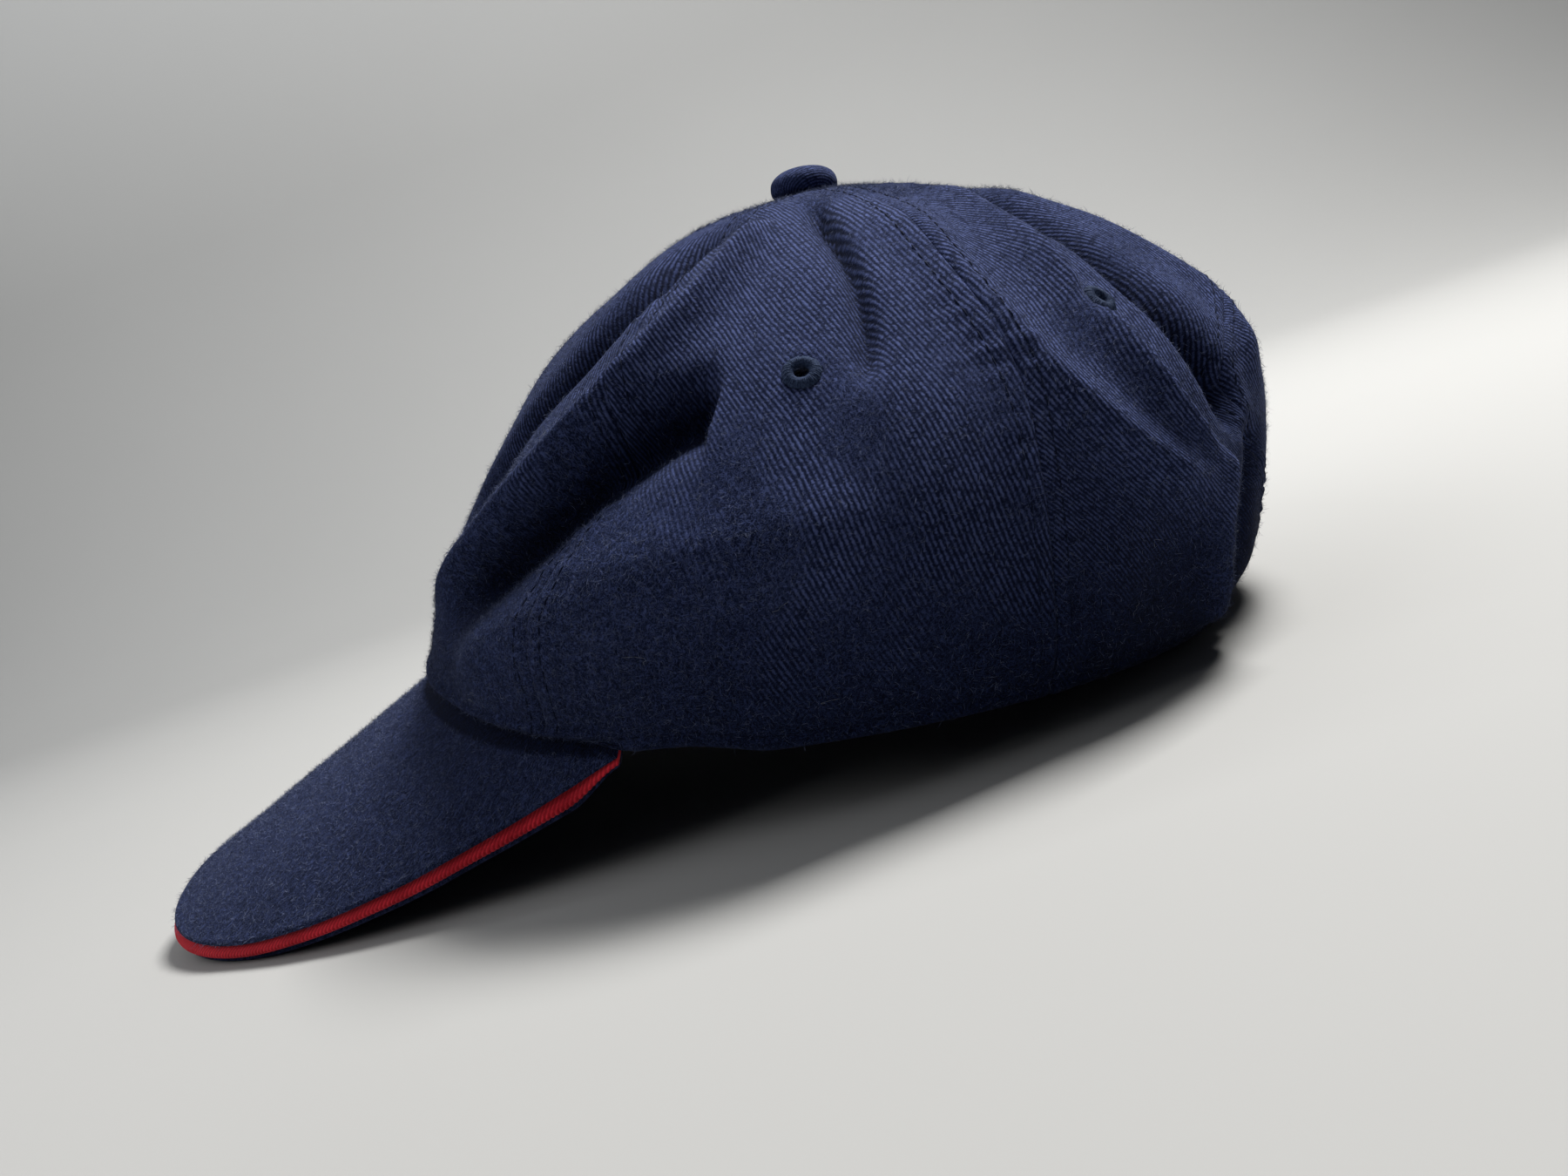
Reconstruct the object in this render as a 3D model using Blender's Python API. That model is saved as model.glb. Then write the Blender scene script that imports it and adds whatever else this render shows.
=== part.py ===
"""A six-panel cap of navy twill with a curved peak, standing on a surface by itself.

The shape is worked out in the cap's own frame, in metres. The origin is the middle of the hem, the hem lies
in z = 0, the peak points to -Y and +X is the wearer's left. Angles go round the crown in degrees from 0 at
the front to 180 at the back, on each side. Levels go up the crown from 0 at the hem to 1 under the button. At
the end the cap is tipped so that it rests on its peak and on the back of its hem, as a cap does on a table.
"""

from collections import namedtuple
import math

import bmesh
import bpy
import numpy as np
from mathutils import Matrix, Vector

# Crown, from the size of a head
HALF_LENGTH = 0.0964
HALF_WIDTH = 0.0880
CROWN_HEIGHT = 0.1100
APEX_SETBACK = 0.0160
APEX_HOLE_LEVEL = 0.012
CLOTH = 0.0015
SEAM_GAP = 0.0003
HEM_SETTLE = 0.0008
HEM_DROP_START = 3.0
HEM_DROP_ANGLE = 16.0
HEM_RISE_LEVEL = 0.4
HEM_HOLDS_LEVEL = 0.10

# Peak
PEAK_CORNER_ANGLE = 68.0
PEAK_REACH = 0.1300
PEAK_ROUNDNESS = 3.1
PEAK_TAPER = 0.14
PEAK_SLOPE = 30.0
PEAK_ARCH_ANGLE = 55.75
PEAK_CORNER_RISE = 0.0010
PEAK_TUCK = 0.0030
PEAK_TOP_THICK = 0.0013
PEAK_TRIM_THICK = 0.0022
PEAK_UNDER_THICK = 0.0014
PEAK_TRIM_BAND = 0.0080
PEAK_LAYER_GAP = 0.0003
PEAK_TRIM_STANDS_OUT = 0.0006
PEAK_BODY_STEP = 0.0010
PEAK_CORNER_THIN = 0.35
PEAK_CORNER_RUN = 0.0120
HEM_CLEARANCE = 0.00045

# Top button
BUTTON_RADIUS = 0.0082
BUTTON_THICK = 0.0058
BUTTON_GAP = 0.0004
# Its side from the foot up: shares of its radius and of its thickness
BUTTON_PROFILE = [
    (0.50, 0.0),
    (0.84, 0.02),
    (0.96, 0.15),
    (1.00, 0.40),
    (0.97, 0.63),
    (0.86, 0.83),
    (0.66, 0.95),
    (0.36, 1.0),
]

# Eyelets
EYELET_RADIUS = 0.0037
EYELET_HOLE_RADIUS = 0.0014
EYELET_BARREL_RADIUS = 0.0022
EYELET_CUT_GAP = 0.0003
EYELET_INNER_RADIUS = 0.0033
EYELET_RAISE = 0.0008
EYELET_SEAT_GAP = 0.0003

# Mesh steps
PANEL_COLUMNS = 15
PANEL_ROWS = 18
PEAK_COLUMNS = 26
PEAK_ROWS = 7
FOLD_STEPS = 32
PEAK_EDGE_STEPS = 720
BUTTON_SIDES = 24
EYELET_SIDES = 12

# Steps over which slopes are measured: degrees, levels and metres
ANGLE_STEP = 0.5
LEVEL_STEP = 0.004
PLAN_STEP = 0.0002

# Bounds of the search for the angle at which the cap rests, in degrees and steps
MOST_TIP = 40.0
TIP_HALVINGS = 50

# The crown's levels from the hem to the button. forward, side and back are how far the cloth stands from
# the middle line, as shares of HALF_LENGTH, HALF_WIDTH and HALF_LENGTH. middle is how far that line lies
# behind the hem's middle, as a share of APEX_SETBACK. The three heights are shares of CROWN_HEIGHT.
Level = namedtuple("Level", "forward side back middle front_height side_height back_height")
LEVELS = [
    Level(0.975, 1.00, 1.04, 0.00, 0.00, 0.00, 0.00),
    Level(0.975, 1.05, 1.10, 0.12, 0.13, 0.11, 0.09),
    Level(0.950, 1.07, 1.115, 0.28, 0.26, 0.25, 0.22),
    Level(0.90, 1.06, 1.11, 0.45, 0.39, 0.39, 0.35),
    Level(0.805, 0.99, 1.09, 0.60, 0.54, 0.53, 0.49),
    Level(0.69, 0.85, 0.99, 0.75, 0.69, 0.67, 0.62),
    Level(0.54, 0.65, 0.78, 0.88, 0.82, 0.81, 0.775),
    Level(0.31, 0.36, 0.45, 0.96, 0.94, 0.93, 0.93),
    Level(0.00, 0.00, 0.00, 1.00, 1.00, 1.00, 1.00),
]

# Where the seams run, in degrees round the crown from the front by its left or right side, at five even
# levels from the hem to the button. The cloth is slack at the back, so the rear seam swings over to the left
# on its way up.
Seam = namedtuple("Seam", "hem low middle high top")
FRONT_SEAM = Seam(0.0, 0.0, 0.0, 0.0, 0.0)
REAR_SEAM = Seam(178.0, 162.0, 145.0, 170.0, 178.0)
SEAMS = {
    "left": [
        FRONT_SEAM,
        Seam(58.0, 57.0, 60.0, 56.0, 60.0),
        Seam(118.0, 115.0, 112.0, 108.0, 112.0),
        REAR_SEAM,
    ],
    "right": [
        Seam(*(-angle for angle in FRONT_SEAM)),
        Seam(59.0, 60.0, 61.0, 60.0, 60.0),
        Seam(119.0, 118.0, 118.0, 118.0, 119.0),
        Seam(*(360 - angle for angle in REAR_SEAM)),
    ],
}
PANELS = ["front", "side", "rear"]
SIDES = {"left": 1, "right": -1}

# Folds and hollows of the cloth. Each runs from its start by its middle down to its end, given as an angle and a
# level. front_width and back_width are the distances to its spine, on the side to the front and on the side to
# the back, at which it has mostly faded, and start_depth and end_depth its height near its ends, as shares of
# CROWN_HEIGHT. A depth above 0 stands out. edge is its power of fading: 2 is soft and 1 is crisp.
Fold = namedtuple(
    "Fold",
    "side start_angle start_level middle_angle middle_level end_angle end_level"
    " front_width back_width start_depth end_depth edge",
)
FOLDS = [
    # The long ridge of the front, the valley before it, the hollow behind it and the bulge below them
    Fold("left", 79, 0.86, 60, 0.60, 15, 0.21, 0.075, 0.052, 0.044, 0.044, 1.6),
    Fold("left", 56, 0.90, 38, 0.64, 15, 0.37, 0.065, 0.080, -0.075, -0.068, 1.8),
    Fold("left", 78, 0.56, 59, 0.495, 28, 0.24, 0.066, 0.122, -0.095, -0.100, 1.9),
    Fold("left", 100, 0.33, 70, 0.31, 34, 0.12, 0.110, 0.140, 0.030, 0.044, 1.9),
    # The crease below the button
    Fold("left", 92, 0.90, 96.5, 0.72, 96, 0.52, 0.042, 0.026, -0.058, -0.034, 1.5),
    # The two ridges of the rear panel, the valley behind them and the ridge over the back
    Fold("left", 112, 0.88, 114, 0.55, 141, 0.27, 0.085, 0.070, 0.016, 0.048, 1.5),
    Fold("left", 130, 0.92, 124, 0.61, 141, 0.32, 0.085, 0.035, 0.032, 0.046, 1.5),
    Fold("left", 141, 0.95, 136, 0.65, 146, 0.38, 0.045, 0.080, -0.090, -0.090, 2.0),
    Fold("left", 150, 0.90, 156, 0.70, 150, 0.46, 0.065, 0.090, 0.010, 0.034, 1.8),
    # The upright fold at the back, the groove behind it and the slack cloth past that
    Fold("left", 138, 0.40, 140, 0.20, 147, 0.00, 0.080, 0.040, 0.044, 0.036, 1.5),
    Fold("left", 151, 0.42, 151, 0.22, 157, 0.00, 0.055, 0.080, -0.045, -0.044, 2.0),
    Fold("left", 178, 0.50, 177, 0.28, 177, 0.02, 0.110, 0.110, -0.012, -0.006, 2.0),
    # The slack cloth of the right side, in softer folds
    Fold("right", 58, 0.80, 46, 0.56, 20, 0.26, 0.090, 0.070, 0.030, 0.032, 1.7),
    Fold("right", 82, 0.60, 64, 0.48, 28, 0.24, 0.140, 0.110, -0.080, -0.095, 2.2),
    Fold("right", 88, 0.42, 62, 0.30, 34, 0.13, 0.090, 0.130, 0.024, 0.024, 1.8),
    Fold("right", 95, 0.92, 99, 0.70, 92, 0.48, 0.070, 0.060, -0.024, -0.020, 1.7),
    Fold("right", 112, 0.86, 120, 0.58, 138, 0.32, 0.090, 0.070, 0.032, 0.028, 1.6),
    Fold("right", 130, 0.88, 136, 0.62, 150, 0.38, 0.070, 0.090, -0.060, -0.048, 1.9),
    Fold("right", 154, 0.82, 158, 0.56, 164, 0.30, 0.090, 0.080, 0.018, 0.018, 2.0),
]

# Eyelets, as the share of their panel's width from its front seam and their level
Eyelet = namedtuple("Eyelet", "side panel across level")
EYELETS = [
    Eyelet("left", "side", 0.58, 0.570),
    Eyelet("left", "rear", 0.36, 0.620),
    Eyelet("right", "side", 0.52, 0.570),
    Eyelet("right", "rear", 0.28, 0.620),
]


def smooth_rows(rows, at, mirrored):
    """Reads a smooth curve through evenly spaced rows at shares from 0 to 1. mirrored is 1 or -1 for each
    column: how it goes on past the last row."""
    rows = np.asarray(rows, float)
    before = 2 * rows[0] - rows[1]
    after = rows[-2] * mirrored
    padded = np.vstack([before, rows, after])
    place = np.clip(at, 0, 1) * (len(rows) - 1)
    first = np.minimum(place.astype(int), len(rows) - 2)
    t = (place - first)[..., None]
    p0, p1, p2, p3 = (padded[first + k] for k in range(4))
    return 0.5 * (
        2 * p1
        + (p2 - p0) * t
        + (2 * p0 - 5 * p1 + 4 * p2 - p3) * t**2
        + (3 * p1 - p0 - 3 * p2 + p3) * t**3
    )


def ease(t):
    """Goes smoothly from 0 to 1."""
    t = np.clip(t, 0, 1)
    return t * t * (3 - 2 * t)


def corner():
    """The peak's corner on the hem, as x and y."""
    turn = math.radians(PEAK_CORNER_ANGLE)
    return HALF_WIDTH * math.sin(turn), -HALF_LENGTH * math.cos(turn)


def peak_height(x, y):
    """Height of the peak's upper surface: a tipped arch that meets the hem's plane at the two corners."""
    corner_x, corner_y = corner()
    radius = corner_x / math.sin(math.radians(PEAK_ARCH_ANGLE))
    arch = np.sqrt(np.maximum(radius**2 - x**2, 0)) - math.sqrt(radius**2 - corner_x**2)
    return PEAK_CORNER_RISE + arch + (y - corner_y) * math.tan(math.radians(PEAK_SLOPE))


def hem_height(x, y, angle):
    """Height of the hem: it sits on the peak along the front and lies in z = 0 behind the corners."""
    on_peak = peak_height(x, y) + HEM_CLEARANCE
    from_front = np.abs((angle + 180) % 360 - 180)
    past_corner = from_front - PEAK_CORNER_ANGLE - HEM_DROP_START
    return on_peak * ease(1 - past_corner / HEM_DROP_ANGLE)


def plain_crown(side, angle, level):
    """The crown without its folds, as points, for arrays of angles and levels."""
    row = smooth_rows(LEVELS, level, [-1, -1, -1, 1, 1, 1, 1])
    turn = np.radians(angle)
    sine, cosine = np.sin(turn), np.cos(turn)
    front = np.maximum(cosine, 0)
    back = np.maximum(-cosine, 0)
    x = row[..., 1] * HALF_WIDTH * sine
    y = row[..., 3] * APEX_SETBACK + HALF_LENGTH * (row[..., 2] * back - row[..., 0] * front)
    z = CROWN_HEIGHT * (row[..., 4] * front**2 + row[..., 5] * sine**2 + row[..., 6] * back**2)
    foot_x, foot_y = LEVELS[0].side * HALF_WIDTH * sine, -LEVELS[0].forward * HALF_LENGTH * cosine
    z = z + hem_height(foot_x, foot_y, angle) * np.clip(1 - level / HEM_RISE_LEVEL, 0, 1) ** 2
    return np.stack([side * x, y, z], -1)


def normals_of(surface, side, angle, level):
    """Outward directions of a surface, measured over a small step of angle and level."""
    across = surface(side, angle + ANGLE_STEP, level) - surface(side, angle - ANGLE_STEP, level)
    upper = np.minimum(level + LEVEL_STEP, 1 - APEX_HOLE_LEVEL / 2)
    lower = np.maximum(level - LEVEL_STEP, 0)
    upward = surface(side, angle, upper) - surface(side, angle, lower)
    out = np.cross(across, upward) * side
    return out / np.linalg.norm(out, axis=-1, keepdims=True)


def fold_offset(points):
    """How far the folds push the cloth out at these points of the plain crown."""
    offset = np.zeros(points.shape[:-1])
    t = np.linspace(0, 1, FOLD_STEPS)
    ways = [(1 - t) * (1 - 2 * t), 4 * t * (1 - t), t * (2 * t - 1)]
    for fold in FOLDS:
        angle = sum(w * a for w, a in zip(ways, (fold.start_angle, fold.middle_angle, fold.end_angle)))
        level = sum(w * a for w, a in zip(ways, (fold.start_level, fold.middle_level, fold.end_level)))
        spine = plain_crown(SIDES[fold.side], angle, level)
        distance, along, ahead = nearest_on(points, spine, t, SIDES[fold.side])
        width = np.where(ahead > 0, fold.front_width, fold.back_width) * CROWN_HEIGHT
        depth = (fold.start_depth + (fold.end_depth - fold.start_depth) * along) * CROWN_HEIGHT
        fade = ease(6 * along) * ease(6 * (1 - along))
        offset += depth * fade * np.exp(-2 * (distance / width) ** fold.edge)
    return offset


def nearest_on(points, line, t, side):
    """The distance of each point to a line that runs down the crown, how far along it that is, and a value above
    0 where the point lies before the line and below 0 where it lies behind it."""
    best = np.full(points.shape[:-1], np.inf)
    along = np.zeros(points.shape[:-1])
    ahead = np.zeros(points.shape[:-1])
    middle = np.array([0, 0, CROWN_HEIGHT / 4])
    for k in range(len(line) - 1):
        step = line[k + 1] - line[k]
        away = points - line[k]
        share = np.clip((away @ step) / (step @ step), 0, 1)
        away = away - share[..., None] * step
        distance = np.linalg.norm(away, axis=-1)
        closer = distance < best
        best = np.where(closer, distance, best)
        along = np.where(closer, t[k] + share * (t[k + 1] - t[k]), along)
        ahead = np.where(closer, side * (away @ np.cross(step, line[k] - middle)), ahead)
    return best, along, ahead


def crown(side, angle, level):
    """The crown's outer surface with its folds, which the sewn hem holds flat."""
    points = plain_crown(side, angle, level)
    out = normals_of(plain_crown, side, angle, level)
    held = ease(level / HEM_HOLDS_LEVEL)
    return points + out * (held * fold_offset(points))[..., None]


def seam_angle(seam, level):
    """Where a seam runs, in degrees, at these levels."""
    return smooth_rows([[angle] for angle in seam], level, [1])[..., 0]


def steps_through(count, end, places):
    """Nearly even steps from 0 to end, shifted so that one falls on each of these places."""
    knots = {0: 0.0, count: end}
    knots.update({round(place * count): place for place in places})
    known = sorted(knots)
    return np.interp(np.arange(count + 1), known, [knots[step] for step in known])


def panel_grids(name, number):
    """The outer and inner points of one panel, rows from the hem up and columns from its front seam to its
    rear seam, with the outward directions."""
    side = SIDES[name]
    eyelets = [eyelet for eyelet in EYELETS if (eyelet.side, eyelet.panel) == (name, PANELS[number])]
    level = steps_through(PANEL_ROWS, 1 - APEX_HOLE_LEVEL, [eyelet.level for eyelet in EYELETS])[:, None]
    across = steps_through(PANEL_COLUMNS, 1, [eyelet.across for eyelet in eyelets])[None, :]
    start = seam_angle(SEAMS[name][number], level)
    end = seam_angle(SEAMS[name][number + 1], level)
    level = level + 0 * across
    angle = start + (end - start) * across
    step = plain_crown(side, angle + ANGLE_STEP, level) - plain_crown(side, angle - ANGLE_STEP, level)
    trim = SEAM_GAP / 2 * 2 * ANGLE_STEP / np.linalg.norm(step, axis=-1)
    angle[:, 0] += trim[:, 0]
    angle[:, -1] -= trim[:, -1]
    outer = crown(side, angle, level)
    out = normals_of(crown, side, angle, level)
    for eyelet in eyelets:
        flatten_round(outer, out, *eyelet_cell(eyelet))
    inner = outer - out * CLOTH
    seat = peak_height(inner[0, :, 0], inner[0, :, 1]) + HEM_CLEARANCE
    on_peak = np.abs((angle[0] + 180) % 360 - 180) < PEAK_CORNER_ANGLE + HEM_DROP_START
    inner[0, :, 2] = np.where(on_peak, np.maximum(inner[0, :, 2], seat), inner[0, :, 2])
    return outer, inner, out


def eyelet_cell(eyelet):
    """The row and column of the panel's mesh that are nearest to an eyelet."""
    row = round(eyelet.level * PANEL_ROWS)
    column = round(eyelet.across * PANEL_COLUMNS)
    return row, column


def flatten_round(outer, out, row, column):
    """Lays the points next to this one on its tangent plane, as the stiff stitching of an eyelet does."""
    centre, normal = outer[row, column].copy(), out[row, column].copy()
    near = (slice(row - 1, row + 2), slice(column - 1, column + 2))
    height = (outer[near] - centre) @ normal
    outer[near] -= height[..., None] * normal
    out[near] = normal


def material(name, colour, roughness, sheen):
    """A cloth of one colour."""
    made = bpy.data.materials.new(name)
    made.use_nodes = True
    shader = made.node_tree.nodes["Principled BSDF"]
    shader.inputs["Base Color"].default_value = (*colour, 1.0)
    shader.inputs["Roughness"].default_value = roughness
    shader.inputs["Metallic"].default_value = 0.0
    shader.inputs["Sheen Weight"].default_value = sheen
    made.diffuse_color = (*colour, 1.0)
    return made


def add_object(name, mesh, parent, look=None):
    """Puts a mesh in the scene as one named object on its parent, with its material."""
    if look:
        mesh.materials.append(look)
    ob = bpy.data.objects.new(name, mesh)
    ob.parent = parent
    bpy.context.scene.collection.objects.link(ob)
    return ob


def shell(name, outer, inner):
    """A closed wall between two grids of points that run the same way."""
    rows, columns = outer.shape[:2]
    bm = bmesh.new()
    upper = [[bm.verts.new(p) for p in row] for row in outer]
    lower = [[bm.verts.new(p) for p in row] for row in inner]
    for i in range(rows - 1):
        for j in range(columns - 1):
            bm.faces.new((upper[i][j], upper[i][j + 1], upper[i + 1][j + 1], upper[i + 1][j]))
            bm.faces.new((lower[i][j], lower[i + 1][j], lower[i + 1][j + 1], lower[i][j + 1]))
    for i in range(rows - 1):
        for j in (0, columns - 1):
            bm.faces.new((upper[i][j], upper[i + 1][j], lower[i + 1][j], lower[i][j]))
    for j in range(columns - 1):
        for i in (0, rows - 1):
            bm.faces.new((upper[i][j], upper[i][j + 1], lower[i][j + 1], lower[i][j]))
    bmesh.ops.recalc_face_normals(bm, faces=bm.faces)
    bmesh.ops.triangulate(bm, faces=bm.faces)
    mesh = bpy.data.meshes.new(name)
    bm.to_mesh(mesh)
    bm.free()
    return mesh


def peak_plan():
    """The peak seen from above: matching points of its root and its edge, from right to left."""
    corner_x, corner_y = corner()
    turn = np.radians(np.linspace(-90, 90, PEAK_EDGE_STEPS + 1))
    power = 2 / PEAK_ROUNDNESS
    ahead = np.abs(np.cos(turn)) ** power
    edge_x = corner_x * np.sign(turn) * np.abs(np.sin(turn)) ** power * (1 - PEAK_TAPER * ahead)
    edge_y = corner_y - PEAK_REACH * ahead
    walked = np.concatenate([[0], np.cumsum(np.hypot(np.diff(edge_x), np.diff(edge_y)))])
    even = np.linspace(0, walked[-1], PEAK_COLUMNS + 1)
    edge = np.stack([np.interp(even, walked, edge_x), np.interp(even, walked, edge_y)], -1)
    root_turn = np.radians(np.linspace(-PEAK_CORNER_ANGLE, PEAK_CORNER_ANGLE, PEAK_COLUMNS + 1))
    root_x = (HALF_WIDTH - PEAK_TUCK) * np.sin(root_turn)
    root_y = -(HALF_LENGTH - PEAK_TUCK) * np.cos(root_turn)
    return np.stack([root_x, root_y], -1), edge


def peak_points(plan):
    """Lifts plan points onto the peak's upper surface, with the outward direction there."""
    x, y = plan[..., 0], plan[..., 1]
    z = peak_height(x, y)
    slope_x = (peak_height(x + PLAN_STEP, y) - peak_height(x - PLAN_STEP, y)) / (2 * PLAN_STEP)
    slope_y = (peak_height(x, y + PLAN_STEP) - peak_height(x, y - PLAN_STEP)) / (2 * PLAN_STEP)
    out = np.stack([-slope_x, -slope_y, np.ones_like(z)], -1)
    out /= np.linalg.norm(out, axis=-1, keepdims=True)
    return np.stack([x, y, z], -1), out


def peak_layers():
    """The points of the peak's three layers, each as its upper and its lower grid. The layers thin out at the
    corners, where the real ones are pressed into the hem's seam."""
    root, edge = peak_plan()
    reach = np.linalg.norm(edge - root, axis=-1)
    forward = (edge - root) / reach[:, None]
    band = np.minimum(PEAK_TRIM_BAND, reach / 2)
    walked = np.concatenate([[0], np.cumsum(np.linalg.norm(np.diff(edge, axis=0), axis=-1))])
    from_corner = np.minimum(walked, walked[-1] - walked)
    thin = PEAK_CORNER_THIN + (1 - PEAK_CORNER_THIN) * ease(from_corner / PEAK_CORNER_RUN)

    def grids(distances, depths_above, depth_below):
        plan = np.stack([root + forward * d[:, None] for d in distances])
        points, out = peak_points(plan)
        above = points - out * np.stack(depths_above)[..., None]
        below = points - out * depth_below[None, :, None]
        return above, below

    top_below = PEAK_TOP_THICK * thin
    trim_above = top_below + PEAK_LAYER_GAP
    trim_below = trim_above + PEAK_TRIM_THICK * thin
    under_above = trim_below + PEAK_LAYER_GAP
    under_below = under_above + PEAK_UNDER_THICK * thin
    rows = np.linspace(0, 1, PEAK_ROWS + 1)
    top = grids([reach * share for share in rows], [0 * reach] * len(rows), top_below)
    stand_out = PEAK_TRIM_STANDS_OUT * thin
    trim_rows = [reach - band, reach - band / 2, reach + stand_out]
    trim = grids(trim_rows, [trim_above] * len(trim_rows), trim_below)
    body_end = np.maximum(reach - band - PEAK_BODY_STEP - PEAK_LAYER_GAP, reach / 4)
    step_end = body_end + (reach - band - PEAK_LAYER_GAP - body_end) * 0.8
    body_rows = [body_end * share for share in rows[::2]] + [body_end]
    edge_rows = [step_end, reach - band / 2, reach]
    depths = [trim_above] * len(body_rows) + [under_above] * len(edge_rows)
    under = grids(body_rows + edge_rows, depths, under_below)
    return {"peak_top": top, "peak_trim": trim, "peak_under": under}


def turned(name, profile, sides, hollow):
    """A round solid turned about Z from a profile of radius and height, closed on itself or by flat ends."""
    bm = bmesh.new()
    rings = []
    for radius, height in profile:
        turns = [2 * math.pi * k / sides for k in range(sides)]
        rings.append([bm.verts.new((radius * math.cos(a), radius * math.sin(a), height)) for a in turns])
    pairs = list(zip(rings, rings[1:]))
    if hollow:
        pairs.append((rings[-1], rings[0]))
    else:
        bm.faces.new(rings[0])
        bm.faces.new(rings[-1])
    for lower, upper in pairs:
        for k in range(sides):
            bm.faces.new((lower[k], lower[k - 1], upper[k - 1], upper[k]))
    bmesh.ops.recalc_face_normals(bm, faces=bm.faces)
    mesh = bpy.data.meshes.new(name)
    bm.to_mesh(mesh)
    bm.free()
    return mesh


def rest_pose(rear_hem, peak_low):
    """The pose that stands the cap on its peak and, a little pressed down, on the back of its hem. The tip is
    found by halving: more tip lifts the peak and lowers the hem."""

    def heights(points, tip):
        return points[..., 2] * math.cos(tip) - points[..., 1] * math.sin(tip)

    least, most = 0.0, math.radians(MOST_TIP)
    for _ in range(TIP_HALVINGS):
        tip = (least + most) / 2
        if heights(peak_low, tip).min() < heights(rear_hem, tip).min() + HEM_SETTLE:
            least = tip
        else:
            most = tip
    return Matrix.Translation((0, 0, -heights(peak_low, tip).min())) @ Matrix.Rotation(-tip, 4, "X")


def moved(points, pose):
    """Points in another frame."""
    turn = np.array(pose)
    return points @ turn[:3, :3].T + turn[:3, 3]


def pressed_flat(outer, inner, pose):
    """Lays on the floor what would reach below it in this pose, with the hem's whole width."""
    outer, inner = moved(outer, pose), moved(inner, pose)
    inner[0, outer[0, :, 2] <= 0, 2] = 0
    for grid in (outer, inner):
        grid[..., 2] = np.maximum(grid[..., 2], 0)
    return moved(outer, pose.inverted()), moved(inner, pose.inverted())


def middle_of(grids, pose):
    """The middle of the bounding box, seen from above, in this pose."""
    points = np.concatenate([moved(grid, pose).reshape(-1, 3) for grid in grids])
    middle = (points.min(0) + points.max(0)) / 2
    return middle[0], middle[1]


def make_crown(grids, cap, look):
    """The six panels."""
    pose = cap.matrix_world
    panels = {}
    for (name, number), (outer, inner, _) in grids.items():
        node = f"panel_{PANELS[number]}_{name}"
        mesh = shell(node, *pressed_flat(outer, inner, pose))
        panels[node] = add_object(node, mesh, cap, look)
    return panels


def make_eyelets(grids, panels, cap, look):
    """The round holes in the panels and the stitched rings that line them."""
    gap, raised = EYELET_SEAT_GAP, EYELET_SEAT_GAP + EYELET_RAISE
    back = -CLOTH - gap
    profile = [
        (EYELET_HOLE_RADIUS, raised * 0.7),
        (EYELET_RADIUS * 0.60, raised),
        (EYELET_RADIUS * 0.90, raised * 0.9),
        (EYELET_RADIUS, gap),
        (EYELET_BARREL_RADIUS, gap),
        (EYELET_BARREL_RADIUS, back),
        (EYELET_INNER_RADIUS, back),
        (EYELET_INNER_RADIUS * 0.90, back - EYELET_RAISE * 0.6),
        (EYELET_HOLE_RADIUS, back - EYELET_RAISE * 0.4),
    ]
    ring = turned("eyelet", profile, EYELET_SIDES, hollow=True)
    ring.materials.append(look)
    for eyelet in EYELETS:
        number = PANELS.index(eyelet.panel)
        outer, _, out = grids[eyelet.side, number]
        cell = eyelet_cell(eyelet)
        turn = Vector(out[cell]).to_track_quat("Z", "Y").to_matrix().to_4x4()
        place = Matrix.Translation(outer[cell]) @ turn
        name = f"{eyelet.panel}_{eyelet.side}"
        panel = panels[f"panel_{name}"]
        cutter = add_object(f"cutter_{name}", drill(), cap)
        cutter.matrix_local = place
        cutter.hide_render = True
        cutter.display_type = "WIRE"
        hole = panel.modifiers.new("eyelet hole", "BOOLEAN")
        hole.operation = "DIFFERENCE"
        hole.object = cutter
        made = add_object(f"eyelet_{name}", ring, cap)
        made.matrix_local = place


def drill():
    """The round bar that cuts an eyelet's hole through the cloth."""
    bm = bmesh.new()
    radius = EYELET_BARREL_RADIUS + EYELET_CUT_GAP
    bmesh.ops.create_cone(
        bm, cap_ends=True, segments=EYELET_SIDES, radius1=radius, radius2=radius, depth=8 * CLOTH
    )
    mesh = bpy.data.meshes.new("drill")
    bm.to_mesh(mesh)
    bm.free()
    return mesh


def make_button(cap, look):
    """The cloth-covered button over the point where the panels meet."""
    profile = [(BUTTON_RADIUS * radius, BUTTON_THICK * height) for radius, height in BUTTON_PROFILE]
    mesh = turned("top_button", profile, BUTTON_SIDES, hollow=False)
    button = add_object("top_button", mesh, cap, look)
    button.location = (0, APEX_SETBACK, CROWN_HEIGHT + BUTTON_GAP)


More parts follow.
